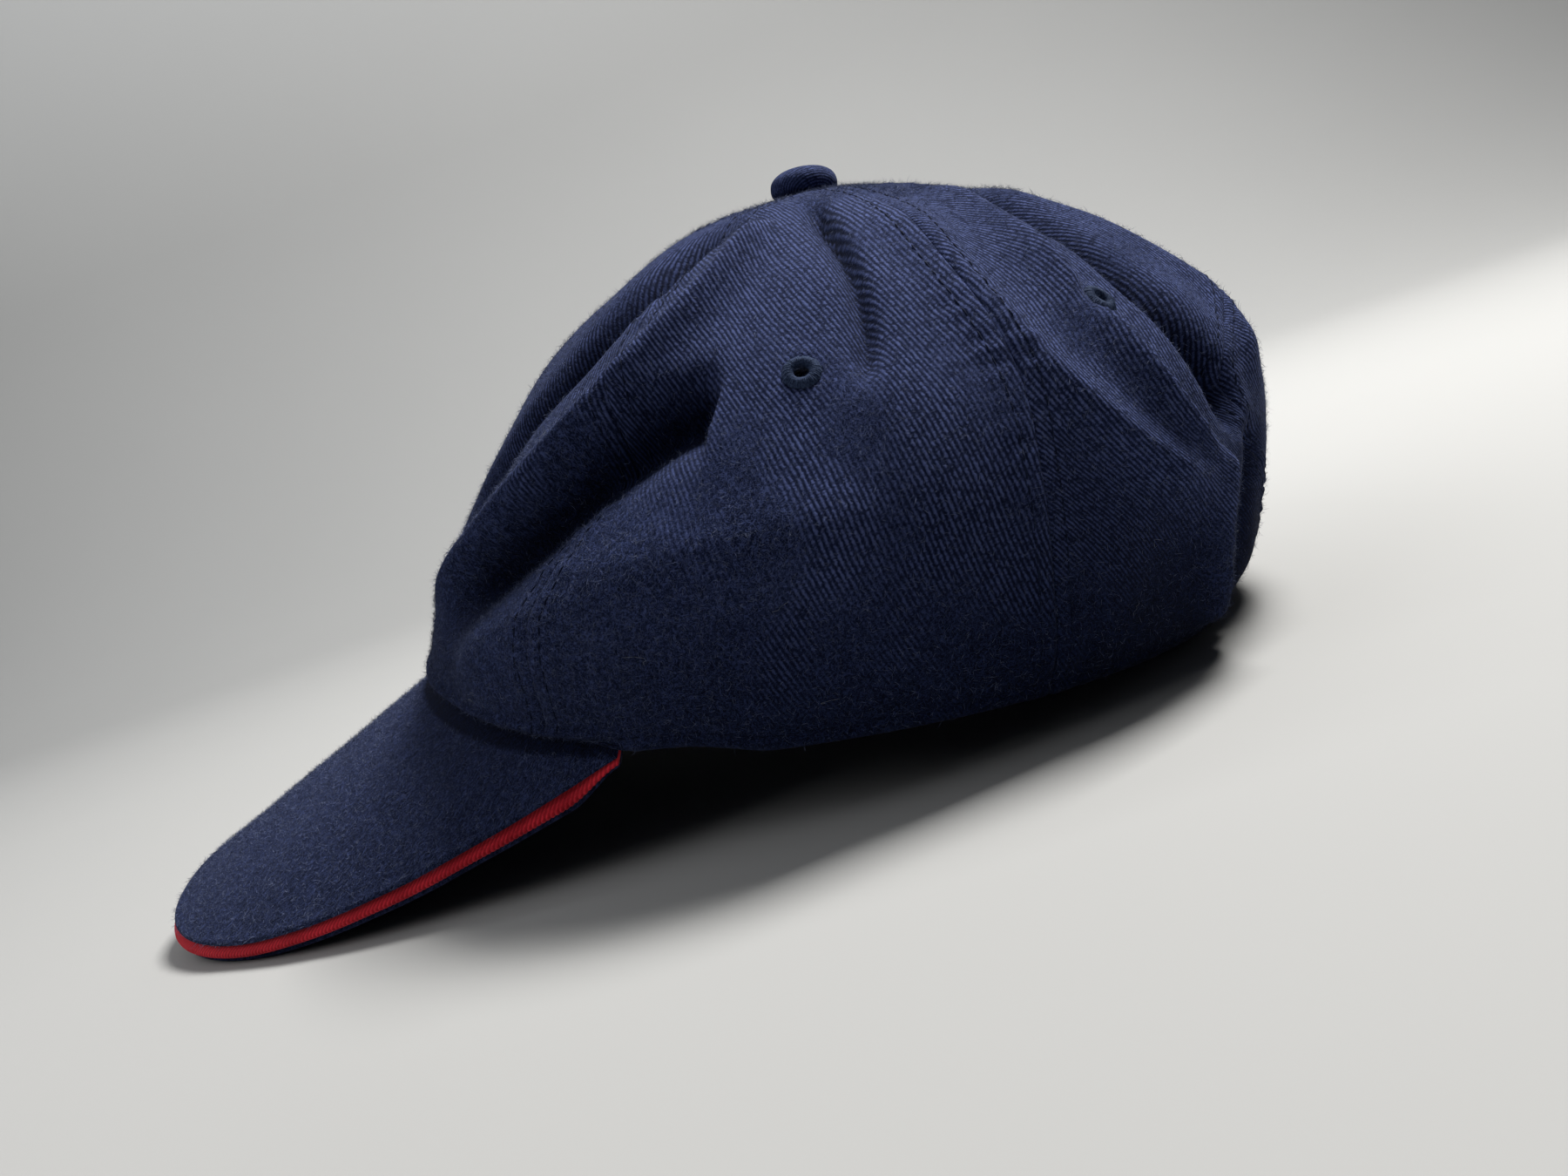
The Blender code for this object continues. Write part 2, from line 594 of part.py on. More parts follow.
def main():
    for ob in list(bpy.data.objects):
        bpy.data.objects.remove(ob)
    twill = material("navy_twill", (0.014, 0.020, 0.068), 0.92, 0.3)
    thread = material("navy_thread", (0.012, 0.024, 0.060), 0.80, 0.2)
    tape = material("red_tape", (0.420, 0.012, 0.025), 0.85, 0.2)

    panels = [(name, number) for name in SIDES for number in range(len(PANELS))]
    panel_points = {panel: panel_grids(*panel) for panel in panels}
    layers = peak_layers()
    hems = np.concatenate([np.vstack([outer[0], inner[0]]) for outer, inner, _ in panel_points.values()])
    pose = rest_pose(hems[hems[:, 1] > 0], layers["peak_under"][1])
    outers = [outer for outer, _, _ in panel_points.values()]
    middle_x, middle_y = middle_of(outers + [grid for pair in layers.values() for grid in pair], pose)

    cap = bpy.data.objects.new("cap", None)
    bpy.context.scene.collection.objects.link(cap)
    cap.matrix_world = Matrix.Translation((-middle_x, -middle_y, 0)) @ pose
    panels = make_crown(panel_points, cap, twill)
    make_eyelets(panel_points, panels, cap, thread)
    make_button(cap, twill)
    for node, (above, below) in layers.items():
        add_object(node, shell(node, above, below), cap, tape if node == "peak_trim" else twill)


main()
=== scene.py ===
"""The looks of a six-panel cap of navy twill with a red edge on its peak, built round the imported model.

The cap is shaped in its own frame, in metres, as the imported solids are: the origin is the middle of the
hem, the hem lies in z = 0, the peak points to -Y and +X is the wearer's left. Angles go round the crown in
degrees from 0 at the front to 180 at the back, on each side. Levels go up the crown from 0 at the hem to 1
under the button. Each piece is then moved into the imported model's frame, where the cap rests on its peak and
on the back of its hem.
"""

from collections import namedtuple
import math

import bpy
import numpy as np
from mathutils import Matrix, Vector


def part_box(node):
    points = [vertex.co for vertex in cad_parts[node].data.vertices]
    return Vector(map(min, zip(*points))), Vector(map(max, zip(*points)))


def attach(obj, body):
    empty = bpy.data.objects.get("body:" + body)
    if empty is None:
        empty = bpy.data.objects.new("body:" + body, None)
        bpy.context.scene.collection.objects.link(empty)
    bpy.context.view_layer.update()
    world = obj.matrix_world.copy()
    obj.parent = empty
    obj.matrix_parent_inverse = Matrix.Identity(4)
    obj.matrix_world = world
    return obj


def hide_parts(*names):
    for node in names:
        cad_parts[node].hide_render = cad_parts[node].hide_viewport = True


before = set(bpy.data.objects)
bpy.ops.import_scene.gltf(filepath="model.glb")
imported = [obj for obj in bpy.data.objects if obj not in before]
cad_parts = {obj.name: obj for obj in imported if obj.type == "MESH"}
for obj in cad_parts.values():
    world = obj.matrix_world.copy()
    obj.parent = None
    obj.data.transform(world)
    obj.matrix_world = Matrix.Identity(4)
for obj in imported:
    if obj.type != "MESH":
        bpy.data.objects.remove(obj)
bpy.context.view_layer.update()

# Crown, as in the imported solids
HALF_LENGTH = 0.0964
HALF_WIDTH = 0.0880
CROWN_HEIGHT = 0.1100
APEX_SETBACK = 0.0160
APEX_HOLE_LEVEL = 0.012
CLOTH = 0.0015
HEM_SETTLE = 0.0008
HEM_DROP_START = 3.0
HEM_DROP_ANGLE = 16.0
HEM_RISE_LEVEL = 0.4
HEM_HOLDS_LEVEL = 0.10
HEM_CLEARANCE = 0.00045

# Peak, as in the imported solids
PEAK_CORNER_ANGLE = 68.0
PEAK_REACH = 0.1300
PEAK_ROUNDNESS = 3.1
PEAK_TAPER = 0.14
PEAK_SLOPE = 30.0
PEAK_ARCH_ANGLE = 55.75
PEAK_CORNER_RISE = 0.0010
PEAK_TOP_THICK = 0.0013
PEAK_TRIM_THICK = 0.0022
PEAK_UNDER_THICK = 0.0014
PEAK_TRIM_BAND = 0.0080
PEAK_CORNER_THIN = 0.35
PEAK_CORNER_RUN = 0.0120
PEAK_LAYER_GAP = 0.0003

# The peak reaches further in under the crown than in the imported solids, below the cloth that is turned in
PEAK_TUCK = 0.0075
PEAK_ROOT_STEPS = [0.0, 0.0040] + [0.0048 + 0.0005 * step for step in range(13)]
PEAK_ROOT_REACH = 0.020

# Button and eyelets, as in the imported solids
BUTTON_RADIUS = 0.0082
BUTTON_THICK = 0.0058
BUTTON_GAP = 0.0004
EYELET_RADIUS = 0.0037
EYELET_HOLE_RADIUS = 0.0014

# Seams, the rolled hem, the cloth that is turned in above the peak, and its slack
SEAM_GROOVE = 0.0003
SEAM_GROOVE_WIDTH = 0.0006
SEAM_LAP = 0.0065
SEAM_LAP_RISE = 0.00025
SEAM_LAP_EDGE = 0.0026
SEAM_STITCH_OFFSET = 0.0032
PUCKER = 0.00020
HEM_PUCKER = 0.00008
PUCKER_WAVE = 0.0062
PUCKER_REACH = 0.0070
HEM_ROLL = 0.0031
HEM_ROLL_RISE = 0.0003
HEM_ROUND = 0.0006
FRONT_TUCK = 0.0034
FRONT_TUCK_HEIGHT = 0.0015
FRONT_LIP_HEIGHT = 0.0034
FRONT_LIP = 0.0014
FRONT_LIP_MIDDLE = 0.0044
FRONT_LIP_WIDTH = 0.002
# FRONT_SHADE is the height up to which the cloth turned in under the lip is painted dark, as painted shadow
FRONT_SHADE = 0.0037
FRONT_FADE_ANGLE = 14.0
SLACK = 0.00035
SLACK_WAVE = 0.030

# Stitches and the dip that they lie in
STITCH_DIP = 0.00012
STITCH_DIP_WIDTH = 0.0005
STITCH_PITCH = 0.0031
STITCH_LENGTH = 0.0024
STITCH_RADIUS = 0.00016
STITCH_STEPS = 6
STITCH_SIDES = 6
STITCHED_ROW = 2.5
STITCH_ARCH = 1.3
STITCH_ARCH_POWER = 0.6
STITCH_SUNK = 0.5
STITCH_END_POWER = 0.4
STITCH_LEAST = 0.25

# Seeds of what is irregular
SLACK_SEED = 11
SEAM_SEED = 20
HEM_SEED = 5
NAP_SEED = 3
EYELET_SEED = 60
PEAK_SEED = 31
CROWN_FIBRE_SEED = 7
PEAK_FIBRE_SEED = 8
LINT_SEED = 40

# Irregular waves: how many sines add up, how far their lengths differ and about how high they reach together
WAVE_COUNT = 28
WAVE_SPREAD = (0.6, 1.5)
WAVE_TOP = 1.6

# Vectors are never divided by less than this length
LEAST_LENGTH = 1e-12

# How the resting tip is looked for: the steepest one that is tried, in degrees, and the number of halvings
MOST_TIP = 40.0
TIP_HALVINGS = 50

# The panels' mesh, and the steps along a fold's spine
PANEL_COLUMNS = 90
PANEL_ROWS = 124
COLUMN_CROWDING = 0.62
ROW_CROWDING = 0.5
FOLD_STEPS = 40

# The button in fine: its rings from below to above, as shares of BUTTON_RADIUS and BUTTON_THICK
Ring = namedtuple("Ring", "radius height")
BUTTON_RINGS = [
    Ring(*row)
    for row in (
        (0.50, -0.14), (0.74, -0.14), (0.86, -0.10), (0.94, -0.02), (0.985, 0.09), (1.00, 0.22),
        (0.995, 0.34), (0.975, 0.46), (0.94, 0.555), (0.89, 0.645), (0.82, 0.73), (0.735, 0.805),
        (0.635, 0.87), (0.52, 0.92), (0.39, 0.96), (0.25, 0.985), (0.11, 1.0),
    )
]
BUTTON_SIDES = 112
BUTTON_GATHERS = 14
BUTTON_UNEVEN = 0.012
BUTTON_TILT = 0.03
BUTTON_SHOULDER = 0.6
BUTTON_NAP = 0.25

# The eyelets in fine: the rings of their section, with the radius as a share from the hole to the edge, the
# height as a share of EYELET_RISE, and how much the threads show
ThreadRing = namedtuple("ThreadRing", "radius height threads")
EYELET_RINGS = [
    ThreadRing(*row)
    for row in (
        (0.10, -0.9, 0.2), (0.00, -0.3, 0.4), (0.02, 0.25, 0.7), (0.12, 0.70, 1.0), (0.30, 1.00, 1.0),
        (0.50, 1.00, 1.0), (0.70, 0.78, 1.0), (0.88, 0.40, 1.0), (1.00, 0.02, 0.8), (0.98, -0.2, 0.0),
        (0.42, -0.4, 0.0), (0.42, -1.6, 0.0), (0.72, -1.7, 0.0), (0.66, -2.1, 0.3), (0.30, -2.2, 0.3),
    )
]
EYELET_CUT = 0.0026
EYELET_FLAT = 0.0080
EYELET_THREADS = 46
EYELET_THREAD_STEPS = 5
EYELET_THREAD_RISE = 0.00013
EYELET_THREAD_SPREAD = 0.4
EYELET_THREAD_LIFT = 0.3
EYELET_UNEVEN = 0.00016
EYELET_RISE = 0.0010

# The peak in fine: its rows crowd at its root and at its edge
PEAK_COLUMNS = 240
PEAK_ROWS = 40
PEAK_ROW_CROWDING = 0.8
PEAK_EDGE_STEPS = [
    0.0044, 0.0036, 0.0030, 0.0026, 0.0022, 0.0018, 0.0014, 0.0010, 0.0007, 0.00045, 0.00025, 0.0001, 0.0,
]
PEAK_STITCH_INSET = 0.0022
PEAK_STITCH_DIP = 0.00008
PEAK_EDGE_SWELL = 0.00005
PEAK_SLACK = 0.00025
PEAK_SLOPE_STEP = 0.0002
PEAK_SLACK_WAVE = 0.035
PEAK_NAP = 0.95
# The peak's cloth is painted at a set lightness, with a band of painted shadow along the crown's hem that
# narrows towards the corners
PEAK_LIGHTNESS = 0.75
PEAK_SHADE = 0.0018
PEAK_SHADE_EDGE = 0.0008
PEAK_SHADE_TAPER = 36.0
PEAK_UNDER_STANDS_OUT = 0.0018
TRIM_COLUMNS = 2000
TRIM_ROUND_STEPS = 9
TRIM_ROUND_IN = 0.0002
TRIM_ROUNDNESS = 0.6
TRIM_STANDS_OUT = 0.0017
TRIM_RIB_PITCH = 0.00105
TRIM_RIB_RISE = 0.00022

# The peak's covers: how deep each lies under the peak's surface, its thickness, how far it stands out past
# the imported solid's edge, and whether its upper side is the one that shows
Cover = namedtuple("Cover", "depth thick stands_out upward")
UPPER_COVER = Cover(0.0, PEAK_TOP_THICK, 0.0, True)
LOWER_DEPTH = PEAK_TOP_THICK + PEAK_TRIM_THICK + 2 * PEAK_LAYER_GAP
LOWER_COVER = Cover(LOWER_DEPTH, PEAK_UNDER_THICK, PEAK_UNDER_STANDS_OUT, False)

# Nap fibres on each side of the crown and on the peak, and a few threads of lint
FIBRES = 42000
PEAK_FIBRES = FIBRES * 3 // 4
FIBRE_LENGTH = 0.0018
FIBRE_LENGTHS = (0.4, 1.3)
FIBRE_RISES = (0.15, 0.9)
FIBRE_CURL = 0.7
FIBRE_HALF_WIDTH = 0.000026
FIBRES_WITHOUT_NAP = 0.25
# The next value sets how thick the fibres stand where the cloth is painted fully shaded
FIBRES_IN_PAINTED_SHADE = 0.2
LINT_FIBRES = 16
LINT_LENGTH = 0.0050
LINT_LENGTHS = (0.5, 1.3)
LINT_CELL = 0.001
LINT_MARGIN = 10
LINT_TOP_MARGIN = 14
LINT_STEPS = 16
LINT_CURL = 0.45
LINT_BEND = 0.2
LINT_LIFT = 0.00022
LINT_HALF_WIDTH = 0.00003

# The cloth's weave, nap and painted light and shade, in metres and degrees
TWILL_SLANT = 27.0
TWILL_PITCH = 0.00098
TWILL_FLOAT = 0.0011
TWILL_RELIEF = 0.00015
TAPE_RELIEF = 0.00015
CLOTH_SPECULAR = 0.06
SHEEN_ROUGHNESS = 0.5
TWILL_ROUGHNESS = 0.92
TAPE_ROUGHNESS = 0.8
# How far a fold must push the cloth in or out for painted shade to darken its hollows, or painted light to
# lighten its ridges, by the whole range
PAINTED_SHADE_DEPTH = 0.008
NAP_PATCHES = 0.28
NAP_PATCH_WAVE = 0.022
LEAST_NAP = 0.04

# Noises in the looks: their scale, detail and roughness. The wales drift and wobble, their floats have slubs,
# and over them lie a grain, the brushed strands, patches of nap, and wear. ROW_SHIFT sets each wale's floats
# apart from the next one's.
Noise = namedtuple("Noise", "scale detail roughness")
DRIFT = Noise(90.0, 2.0, 0.5)
WOBBLE = Noise(1300.0, 1.0, 0.5)
SLUB = Noise(1.0, 3.0, 0.75)
GRAIN = Noise(3200.0, 3.0, 0.7)
BRUSHED = Noise(1700.0, 4.0, 0.7)
SMALL_PATCHES = Noise(260.0, 3.0, 0.5)
LARGE_PATCHES = Noise(75.0, 2.0, 0.5)
WEAR = Noise(45.0, 4.0, 0.5)
TAPE_GRAIN = Noise(2400.0, 3.0, 0.6)
TAPE_SHADE = Noise(120.0, 2.0, 0.5)
FLOOR_NOISE = Noise(3.0, 3.0, 0.5)
ROW_SHIFT = 3.7

# Curly lines on brushed cloth: their scale and width
LONG_HAIRS = (520.0, 0.035)
SHORT_HAIRS = (1150.0, 0.07)
HAIR_DETAIL = 1.0
HAIR_ROUGHNESS = 0.5
HAIR_CURL = 1.6

# Colours in linear values
# The cloth's colour is multiplied by the next one where it is painted fully shaded
PAINTED_SHADE_TINT = (0.12, 0.175, 0.26)
WORN = (1.35, 1.3, 1.2)
WHITE = (1.0, 1.0, 1.0)
NAVY_DARK = (0.0030, 0.0060, 0.0230)
NAVY_LIGHT = (0.0600, 0.0800, 0.1950)
NAVY_NAP = (0.0400, 0.0560, 0.1450)

# Each sheen's weight and colour
NO_SHEEN = (0.0, WHITE)
CROWN_SHEEN = (0.03, (0.45, 0.52, 0.78))
PEAK_SHEEN = (0.05, (0.50, 0.54, 0.74))
SEWING_SHEEN = (0.02, (0.6, 0.7, 1.0))
SATIN_SHEEN = (0.05, (0.6, 0.7, 1.0))
TAPE_SHEEN = (0.15, (1.0, 0.6, 0.6))

# Dark and light colours of the threads, the tape and the loose fibres
SEWING_COLOURS = ((0.002, 0.004, 0.014), (0.010, 0.016, 0.044))
SATIN_COLOURS = ((0.010, 0.018, 0.044), (0.034, 0.052, 0.105))
TAPE_COLOURS = ((0.27, 0.006, 0.014), (0.76, 0.032, 0.052))
FIBRE_COLOURS = ((0.030, 0.040, 0.085), (0.11, 0.13, 0.21))
LINT_COLOURS = ((0.10, 0.12, 0.16), (0.24, 0.26, 0.30))

# Threads and loose fibres: how fine their shading is, their relief and their roughness
Strand = namedtuple("Strand", "scale detail relief roughness")
THREAD = Strand(2600.0, 2.0, 0.00012, 0.75)
FLUFF = Strand(900.0, 1.0, 0.00001, 0.9)

# The floor, from before the cap to the top of the backdrop, in metres, and its look
FLOOR_FRONT = 1.2
FLOOR_FLAT = 0.7
FLOOR_BEND = 0.5
FLOOR_BEND_STEPS = 15
FLOOR_TOP = 2.0
FLOOR_SIDE = 2.5
FLOOR_RELIEF = 0.0001
FLOOR_ROUGHNESS = 0.9
FLOOR_COLOURS = ((0.34, 0.34, 0.335), (0.36, 0.36, 0.355))

# Lamps: where each is and looks, its size, its power in watts and its colour
Lamp = namedtuple("Lamp", "name place aim width height power colour")
LAMPS = [
    Lamp("overhead", (-0.20, 0.50, 0.97), (0, 0.02, 0.06), 0.34, 0.34, 24.0, (1.0, 0.985, 0.96)),
    Lamp("front", (0.25, -0.75, 0.80), (0, -0.06, 0.04), 0.90, 0.90, 4.5, (0.97, 0.98, 1.0)),
    Lamp("backdrop", (-0.55, -0.35, 1.35), (-1.5, -0.4, 0.55), 2.60, 0.40, 18.0, (0.97, 0.985, 1.0)),
]
WORLD_STRENGTH = 0.04
WORLD_COLOUR = (0.80, 0.86, 1.0)

# The crown's levels from the hem to the button. forward, side and back are how far the cloth stands from the
# middle line, as shares of HALF_LENGTH, HALF_WIDTH and HALF_LENGTH. middle is how far that line lies behind
# the hem's middle, as a share of APEX_SETBACK. The three heights are shares of CROWN_HEIGHT.
Level = namedtuple("Level", "forward side back middle front_height side_height back_height")
LEVELS = [
    Level(0.975, 1.00, 1.04, 0.00, 0.00, 0.00, 0.00),
    Level(0.975, 1.05, 1.10, 0.12, 0.13, 0.11, 0.09),
    Level(0.950, 1.07, 1.115, 0.28, 0.26, 0.25, 0.22),
    Level(0.90, 1.06, 1.11, 0.45, 0.39, 0.39, 0.35),
    Level(0.805, 0.99, 1.09, 0.60, 0.54, 0.53, 0.49),
    Level(0.69, 0.85, 0.99, 0.75, 0.69, 0.67, 0.62),
    Level(0.54, 0.65, 0.78, 0.88, 0.82, 0.81, 0.775),
    Level(0.31, 0.36, 0.45, 0.96, 0.94, 0.93, 0.93),
    Level(0.00, 0.00, 0.00, 1.00, 1.00, 1.00, 1.00),
]

# Where the seams run, in degrees round the crown from the front by its left or right side, at five even
# levels from the hem to the button.
Seam = namedtuple("Seam", "hem low middle high top")
FRONT_SEAM = Seam(0.0, 0.0, 0.0, 0.0, 0.0)
REAR_SEAM = Seam(178.0, 162.0, 145.0, 170.0, 178.0)
SEAMS = {
    "left": [
        FRONT_SEAM,
        Seam(58.0, 57.0, 60.0, 56.0, 60.0),
        Seam(118.0, 115.0, 112.0, 108.0, 112.0),
        REAR_SEAM,
    ],
    "right": [
        FRONT_SEAM,
        Seam(59.0, 60.0, 61.0, 60.0, 60.0),
        Seam(119.0, 118.0, 118.0, 118.0, 119.0),
        Seam(*(360 - angle for angle in REAR_SEAM)),
    ],
}
PANELS = ["front", "side", "rear"]
SIDES = {"left": 1, "right": -1}

# Folds and hollows of the cloth. Each runs from its start by its middle down to its end, given as an angle
# and a level. front_width and back_width are the distances to its spine, on the side to the front and on the
# side to the back, at which it has mostly faded, and start_depth and end_depth its height near its ends, as
# shares of CROWN_HEIGHT. A depth above 0 stands out. edge is its power of fading: 2 is soft and 1 is crisp.
# A fold fades over a part of its length at each end, which FOLD_FADE goes into once.
FOLD_FADE = 6
Fold = namedtuple(
    "Fold",
    "side start_angle start_level middle_angle middle_level end_angle end_level"
    " front_width back_width start_depth end_depth edge",
)
FOLDS = [
    # The long ridge of the front, the valley before it, the hollow behind it and the bulge below them
    Fold("left", 79, 0.86, 60, 0.60, 15, 0.21, 0.075, 0.052, 0.044, 0.044, 1.6),
    Fold("left", 56, 0.90, 38, 0.64, 15, 0.37, 0.065, 0.080, -0.075, -0.068, 1.8),
    Fold("left", 78, 0.56, 59, 0.495, 28, 0.24, 0.066, 0.122, -0.095, -0.100, 1.9),
    Fold("left", 100, 0.33, 70, 0.31, 34, 0.12, 0.110, 0.140, 0.030, 0.044, 1.9),
    # The crease below the button
    Fold("left", 92, 0.90, 96.5, 0.72, 96, 0.52, 0.042, 0.026, -0.058, -0.034, 1.5),
    # The two ridges of the rear panel, the valley behind them and the ridge over the back
    Fold("left", 112, 0.88, 114, 0.55, 141, 0.27, 0.085, 0.070, 0.016, 0.048, 1.5),
    Fold("left", 130, 0.92, 124, 0.61, 141, 0.32, 0.085, 0.035, 0.032, 0.046, 1.5),
    Fold("left", 141, 0.95, 136, 0.65, 146, 0.38, 0.045, 0.080, -0.090, -0.090, 2.0),
    Fold("left", 150, 0.90, 156, 0.70, 150, 0.46, 0.065, 0.090, 0.010, 0.034, 1.8),
    # The upright fold at the back, the groove behind it and the slack cloth past that
    Fold("left", 138, 0.40, 140, 0.20, 147, 0.00, 0.080, 0.040, 0.044, 0.036, 1.5),
    Fold("left", 151, 0.42, 151, 0.22, 157, 0.00, 0.055, 0.080, -0.045, -0.044, 2.0),
    Fold("left", 178, 0.50, 177, 0.28, 177, 0.02, 0.110, 0.110, -0.012, -0.006, 2.0),
    # The slack cloth of the right side, in softer folds
    Fold("right", 58, 0.80, 46, 0.56, 20, 0.26, 0.090, 0.070, 0.030, 0.032, 1.7),
    Fold("right", 82, 0.60, 64, 0.48, 28, 0.24, 0.140, 0.110, -0.080, -0.095, 2.2),
    Fold("right", 88, 0.42, 62, 0.30, 34, 0.13, 0.090, 0.130, 0.024, 0.024, 1.8),
    Fold("right", 95, 0.92, 99, 0.70, 92, 0.48, 0.070, 0.060, -0.024, -0.020, 1.7),
    Fold("right", 112, 0.86, 120, 0.58, 138, 0.32, 0.090, 0.070, 0.032, 0.028, 1.6),
    Fold("right", 130, 0.88, 136, 0.62, 150, 0.38, 0.070, 0.090, -0.060, -0.048, 1.9),
    Fold("right", 154, 0.82, 158, 0.56, 164, 0.30, 0.090, 0.080, 0.018, 0.018, 2.0),
]

# The camera, in the cap's frame: where it stands and looks, in degrees and metres
CAMERA_LENS_MM = 27.0
CAMERA_SENSOR_MM = 36.0
CAMERA_NEAR = 0.01
CAMERA_AZIMUTH = 3.9
CAMERA_ELEVATION = 9.2
CAMERA_ROLL = -9.4
CAMERA_DISTANCE = 0.3010
CAMERA_AIM = (0.0, -0.0046, 0.0154)


def smooth_rows(rows, at, mirrored):
    """Reads a smooth curve through evenly spaced rows at shares from 0 to 1. mirrored is 1 or -1 for each
    column: how it goes on past the last row."""
    rows = np.asarray(rows, float)
    before = 2 * rows[0] - rows[1]
    after = rows[-2] * mirrored
    padded = np.vstack([before, rows, after])
    place = np.clip(at, 0, 1) * (len(rows) - 1)
    first = np.minimum(place.astype(int), len(rows) - 2)
    t = (place - first)[..., None]
    p0, p1, p2, p3 = (padded[first + k] for k in range(4))
    return 0.5 * (
        2 * p1
        + (p2 - p0) * t
        + (2 * p0 - 5 * p1 + 4 * p2 - p3) * t**2
        + (3 * p1 - p0 - 3 * p2 + p3) * t**3
    )


def ease(t):
    """Goes smoothly from 0 to 1."""
    t = np.clip(t, 0, 1)
    return t * t * (3 - 2 * t)


def unit(vectors):
    """Vectors made 1 long."""
    return vectors / np.maximum(np.linalg.norm(vectors, axis=-1, keepdims=True), LEAST_LENGTH)


def numbered(*shape):
    """The numbers of a grid's points, from 0."""
    return np.arange(math.prod(shape)).reshape(shape)


def joined(*parts):
    """Values side by side, one row of them for each point."""
    return np.stack(np.broadcast_arrays(*parts), -1)


def at_places(places, way, values):
    """Values in rows, interpolated at these places along the way between them."""
    return np.stack([np.interp(places, way, column) for column in values.T], -1)


def at_cells(grid, i, j, s, t):
    """Points of a grid's cells i, j, at shares s of the way to the next row and t to the next column."""
    return (grid[i, j] * (1 - t) + grid[i, j + 1] * t) * (1 - s) + (
        grid[i + 1, j] * (1 - t) + grid[i + 1, j + 1] * t
    ) * s


def above_floor(points):
    """Points with those below the floor pressed up to it."""
    return np.concatenate([points[..., :2], np.maximum(points[..., 2:], 0)], -1)


def hump(distance, width):
    """A soft hump that has mostly faded at this distance."""
    return np.exp(-2 * (distance / width) ** 2)


def dent(distance, width):
    """A narrow dent, 1 at its middle."""
    return np.exp(-((distance / width) ** 2))


def corner():
    """The peak's corner on the hem, as x and y."""
    turn = math.radians(PEAK_CORNER_ANGLE)
    return HALF_WIDTH * math.sin(turn), -HALF_LENGTH * math.cos(turn)


def peak_height(x, y):
    """Height of the peak's upper surface: a tipped arch that meets the hem's plane at the two corners."""
    corner_x, corner_y = corner()
    radius = corner_x / math.sin(math.radians(PEAK_ARCH_ANGLE))
    arch = np.sqrt(np.maximum(radius**2 - x**2, 0)) - math.sqrt(radius**2 - corner_x**2)
    return PEAK_CORNER_RISE + arch + (y - corner_y) * math.tan(math.radians(PEAK_SLOPE))


def from_front(angle):
    """How many degrees lie between this angle and the front, either way round."""
    return np.abs((angle + 180) % 360 - 180)


def hem_height(x, y, angle):
    """Height of the hem: it sits on the peak along the front and lies in z = 0 behind the corners."""
    on_peak = peak_height(x, y) + HEM_CLEARANCE
    past_corner = from_front(angle) - PEAK_CORNER_ANGLE - HEM_DROP_START
    return on_peak * ease(1 - past_corner / HEM_DROP_ANGLE)


def hem_foot(turn):
    """The hem's x and y at this angle from the front, in radians, on the side where x is above 0."""
    return LEVELS[0].side * HALF_WIDTH * np.sin(turn), -LEVELS[0].forward * HALF_LENGTH * np.cos(turn)


def plain_crown(side, angle, level):
    """The crown without its folds, as points, for arrays of angles and levels."""
    row = smooth_rows(LEVELS, level, [-1, -1, -1, 1, 1, 1, 1])
    turn = np.radians(angle)
    sine, cosine = np.sin(turn), np.cos(turn)
    front = np.maximum(cosine, 0)
    back = np.maximum(-cosine, 0)
    x = row[..., 1] * HALF_WIDTH * sine
    y = row[..., 3] * APEX_SETBACK + HALF_LENGTH * (row[..., 2] * back - row[..., 0] * front)
    z = CROWN_HEIGHT * (row[..., 4] * front**2 + row[..., 5] * sine**2 + row[..., 6] * back**2)
    z = z + hem_height(*hem_foot(turn), angle) * np.clip(1 - level / HEM_RISE_LEVEL, 0, 1) ** 2
    return joined(side * x, y, z)


def normals_of(points, side):
    """Outward directions of a grid of points whose rows go up and whose columns go round by this side."""
    across = np.gradient(points, axis=1)
    upward = np.gradient(points, axis=0)
    return unit(np.cross(across, upward) * side)


def fold_offset(points):
    """How far the folds push the cloth out at these points of the plain crown."""
    offset = np.zeros(points.shape[:-1])
    t = np.linspace(0, 1, FOLD_STEPS)
    ways = [(1 - t) * (1 - 2 * t), 4 * t * (1 - t), t * (2 * t - 1)]
    for fold in FOLDS:
        angle = sum(w * a for w, a in zip(ways, (fold.start_angle, fold.middle_angle, fold.end_angle)))
        level = sum(w * a for w, a in zip(ways, (fold.start_level, fold.middle_level, fold.end_level)))
        spine = plain_crown(SIDES[fold.side], angle, level)
        distance, along, ahead = nearest_on(points, spine, t, SIDES[fold.side])
        width = np.where(ahead > 0, fold.front_width, fold.back_width) * CROWN_HEIGHT
        depth = (fold.start_depth + (fold.end_depth - fold.start_depth) * along) * CROWN_HEIGHT
        fade = ease(FOLD_FADE * along) * ease(FOLD_FADE * (1 - along))
        offset += depth * fade * np.exp(-2 * (distance / width) ** fold.edge)
    return offset


def nearest_on(points, line, t, side):
    """The distance of each point to a line that runs down the crown, how far along it that is, and a value
    above 0 where the point lies before the line and below 0 where it lies behind it."""
    best = np.full(points.shape[:-1], np.inf)
    along = np.zeros(points.shape[:-1])
    ahead = np.zeros(points.shape[:-1])
    middle = np.array([0, 0, CROWN_HEIGHT / 4])
    for k in range(len(line) - 1):
        step = line[k + 1] - line[k]
        away = points - line[k]
        share = np.clip((away @ step) / (step @ step), 0, 1)
        away = away - share[..., None] * step
        distance = np.linalg.norm(away, axis=-1)
        closer = distance < best
        best = np.where(closer, distance, best)
        along = np.where(closer, t[k] + share * (t[k + 1] - t[k]), along)
        ahead = np.where(closer, side * (away @ np.cross(step, line[k] - middle)), ahead)
    return best, along, ahead


def seam_angle(seam, level):
    """Where a seam runs, in degrees, at these levels."""
    return smooth_rows([[angle] for angle in seam], level, [1])[..., 0]


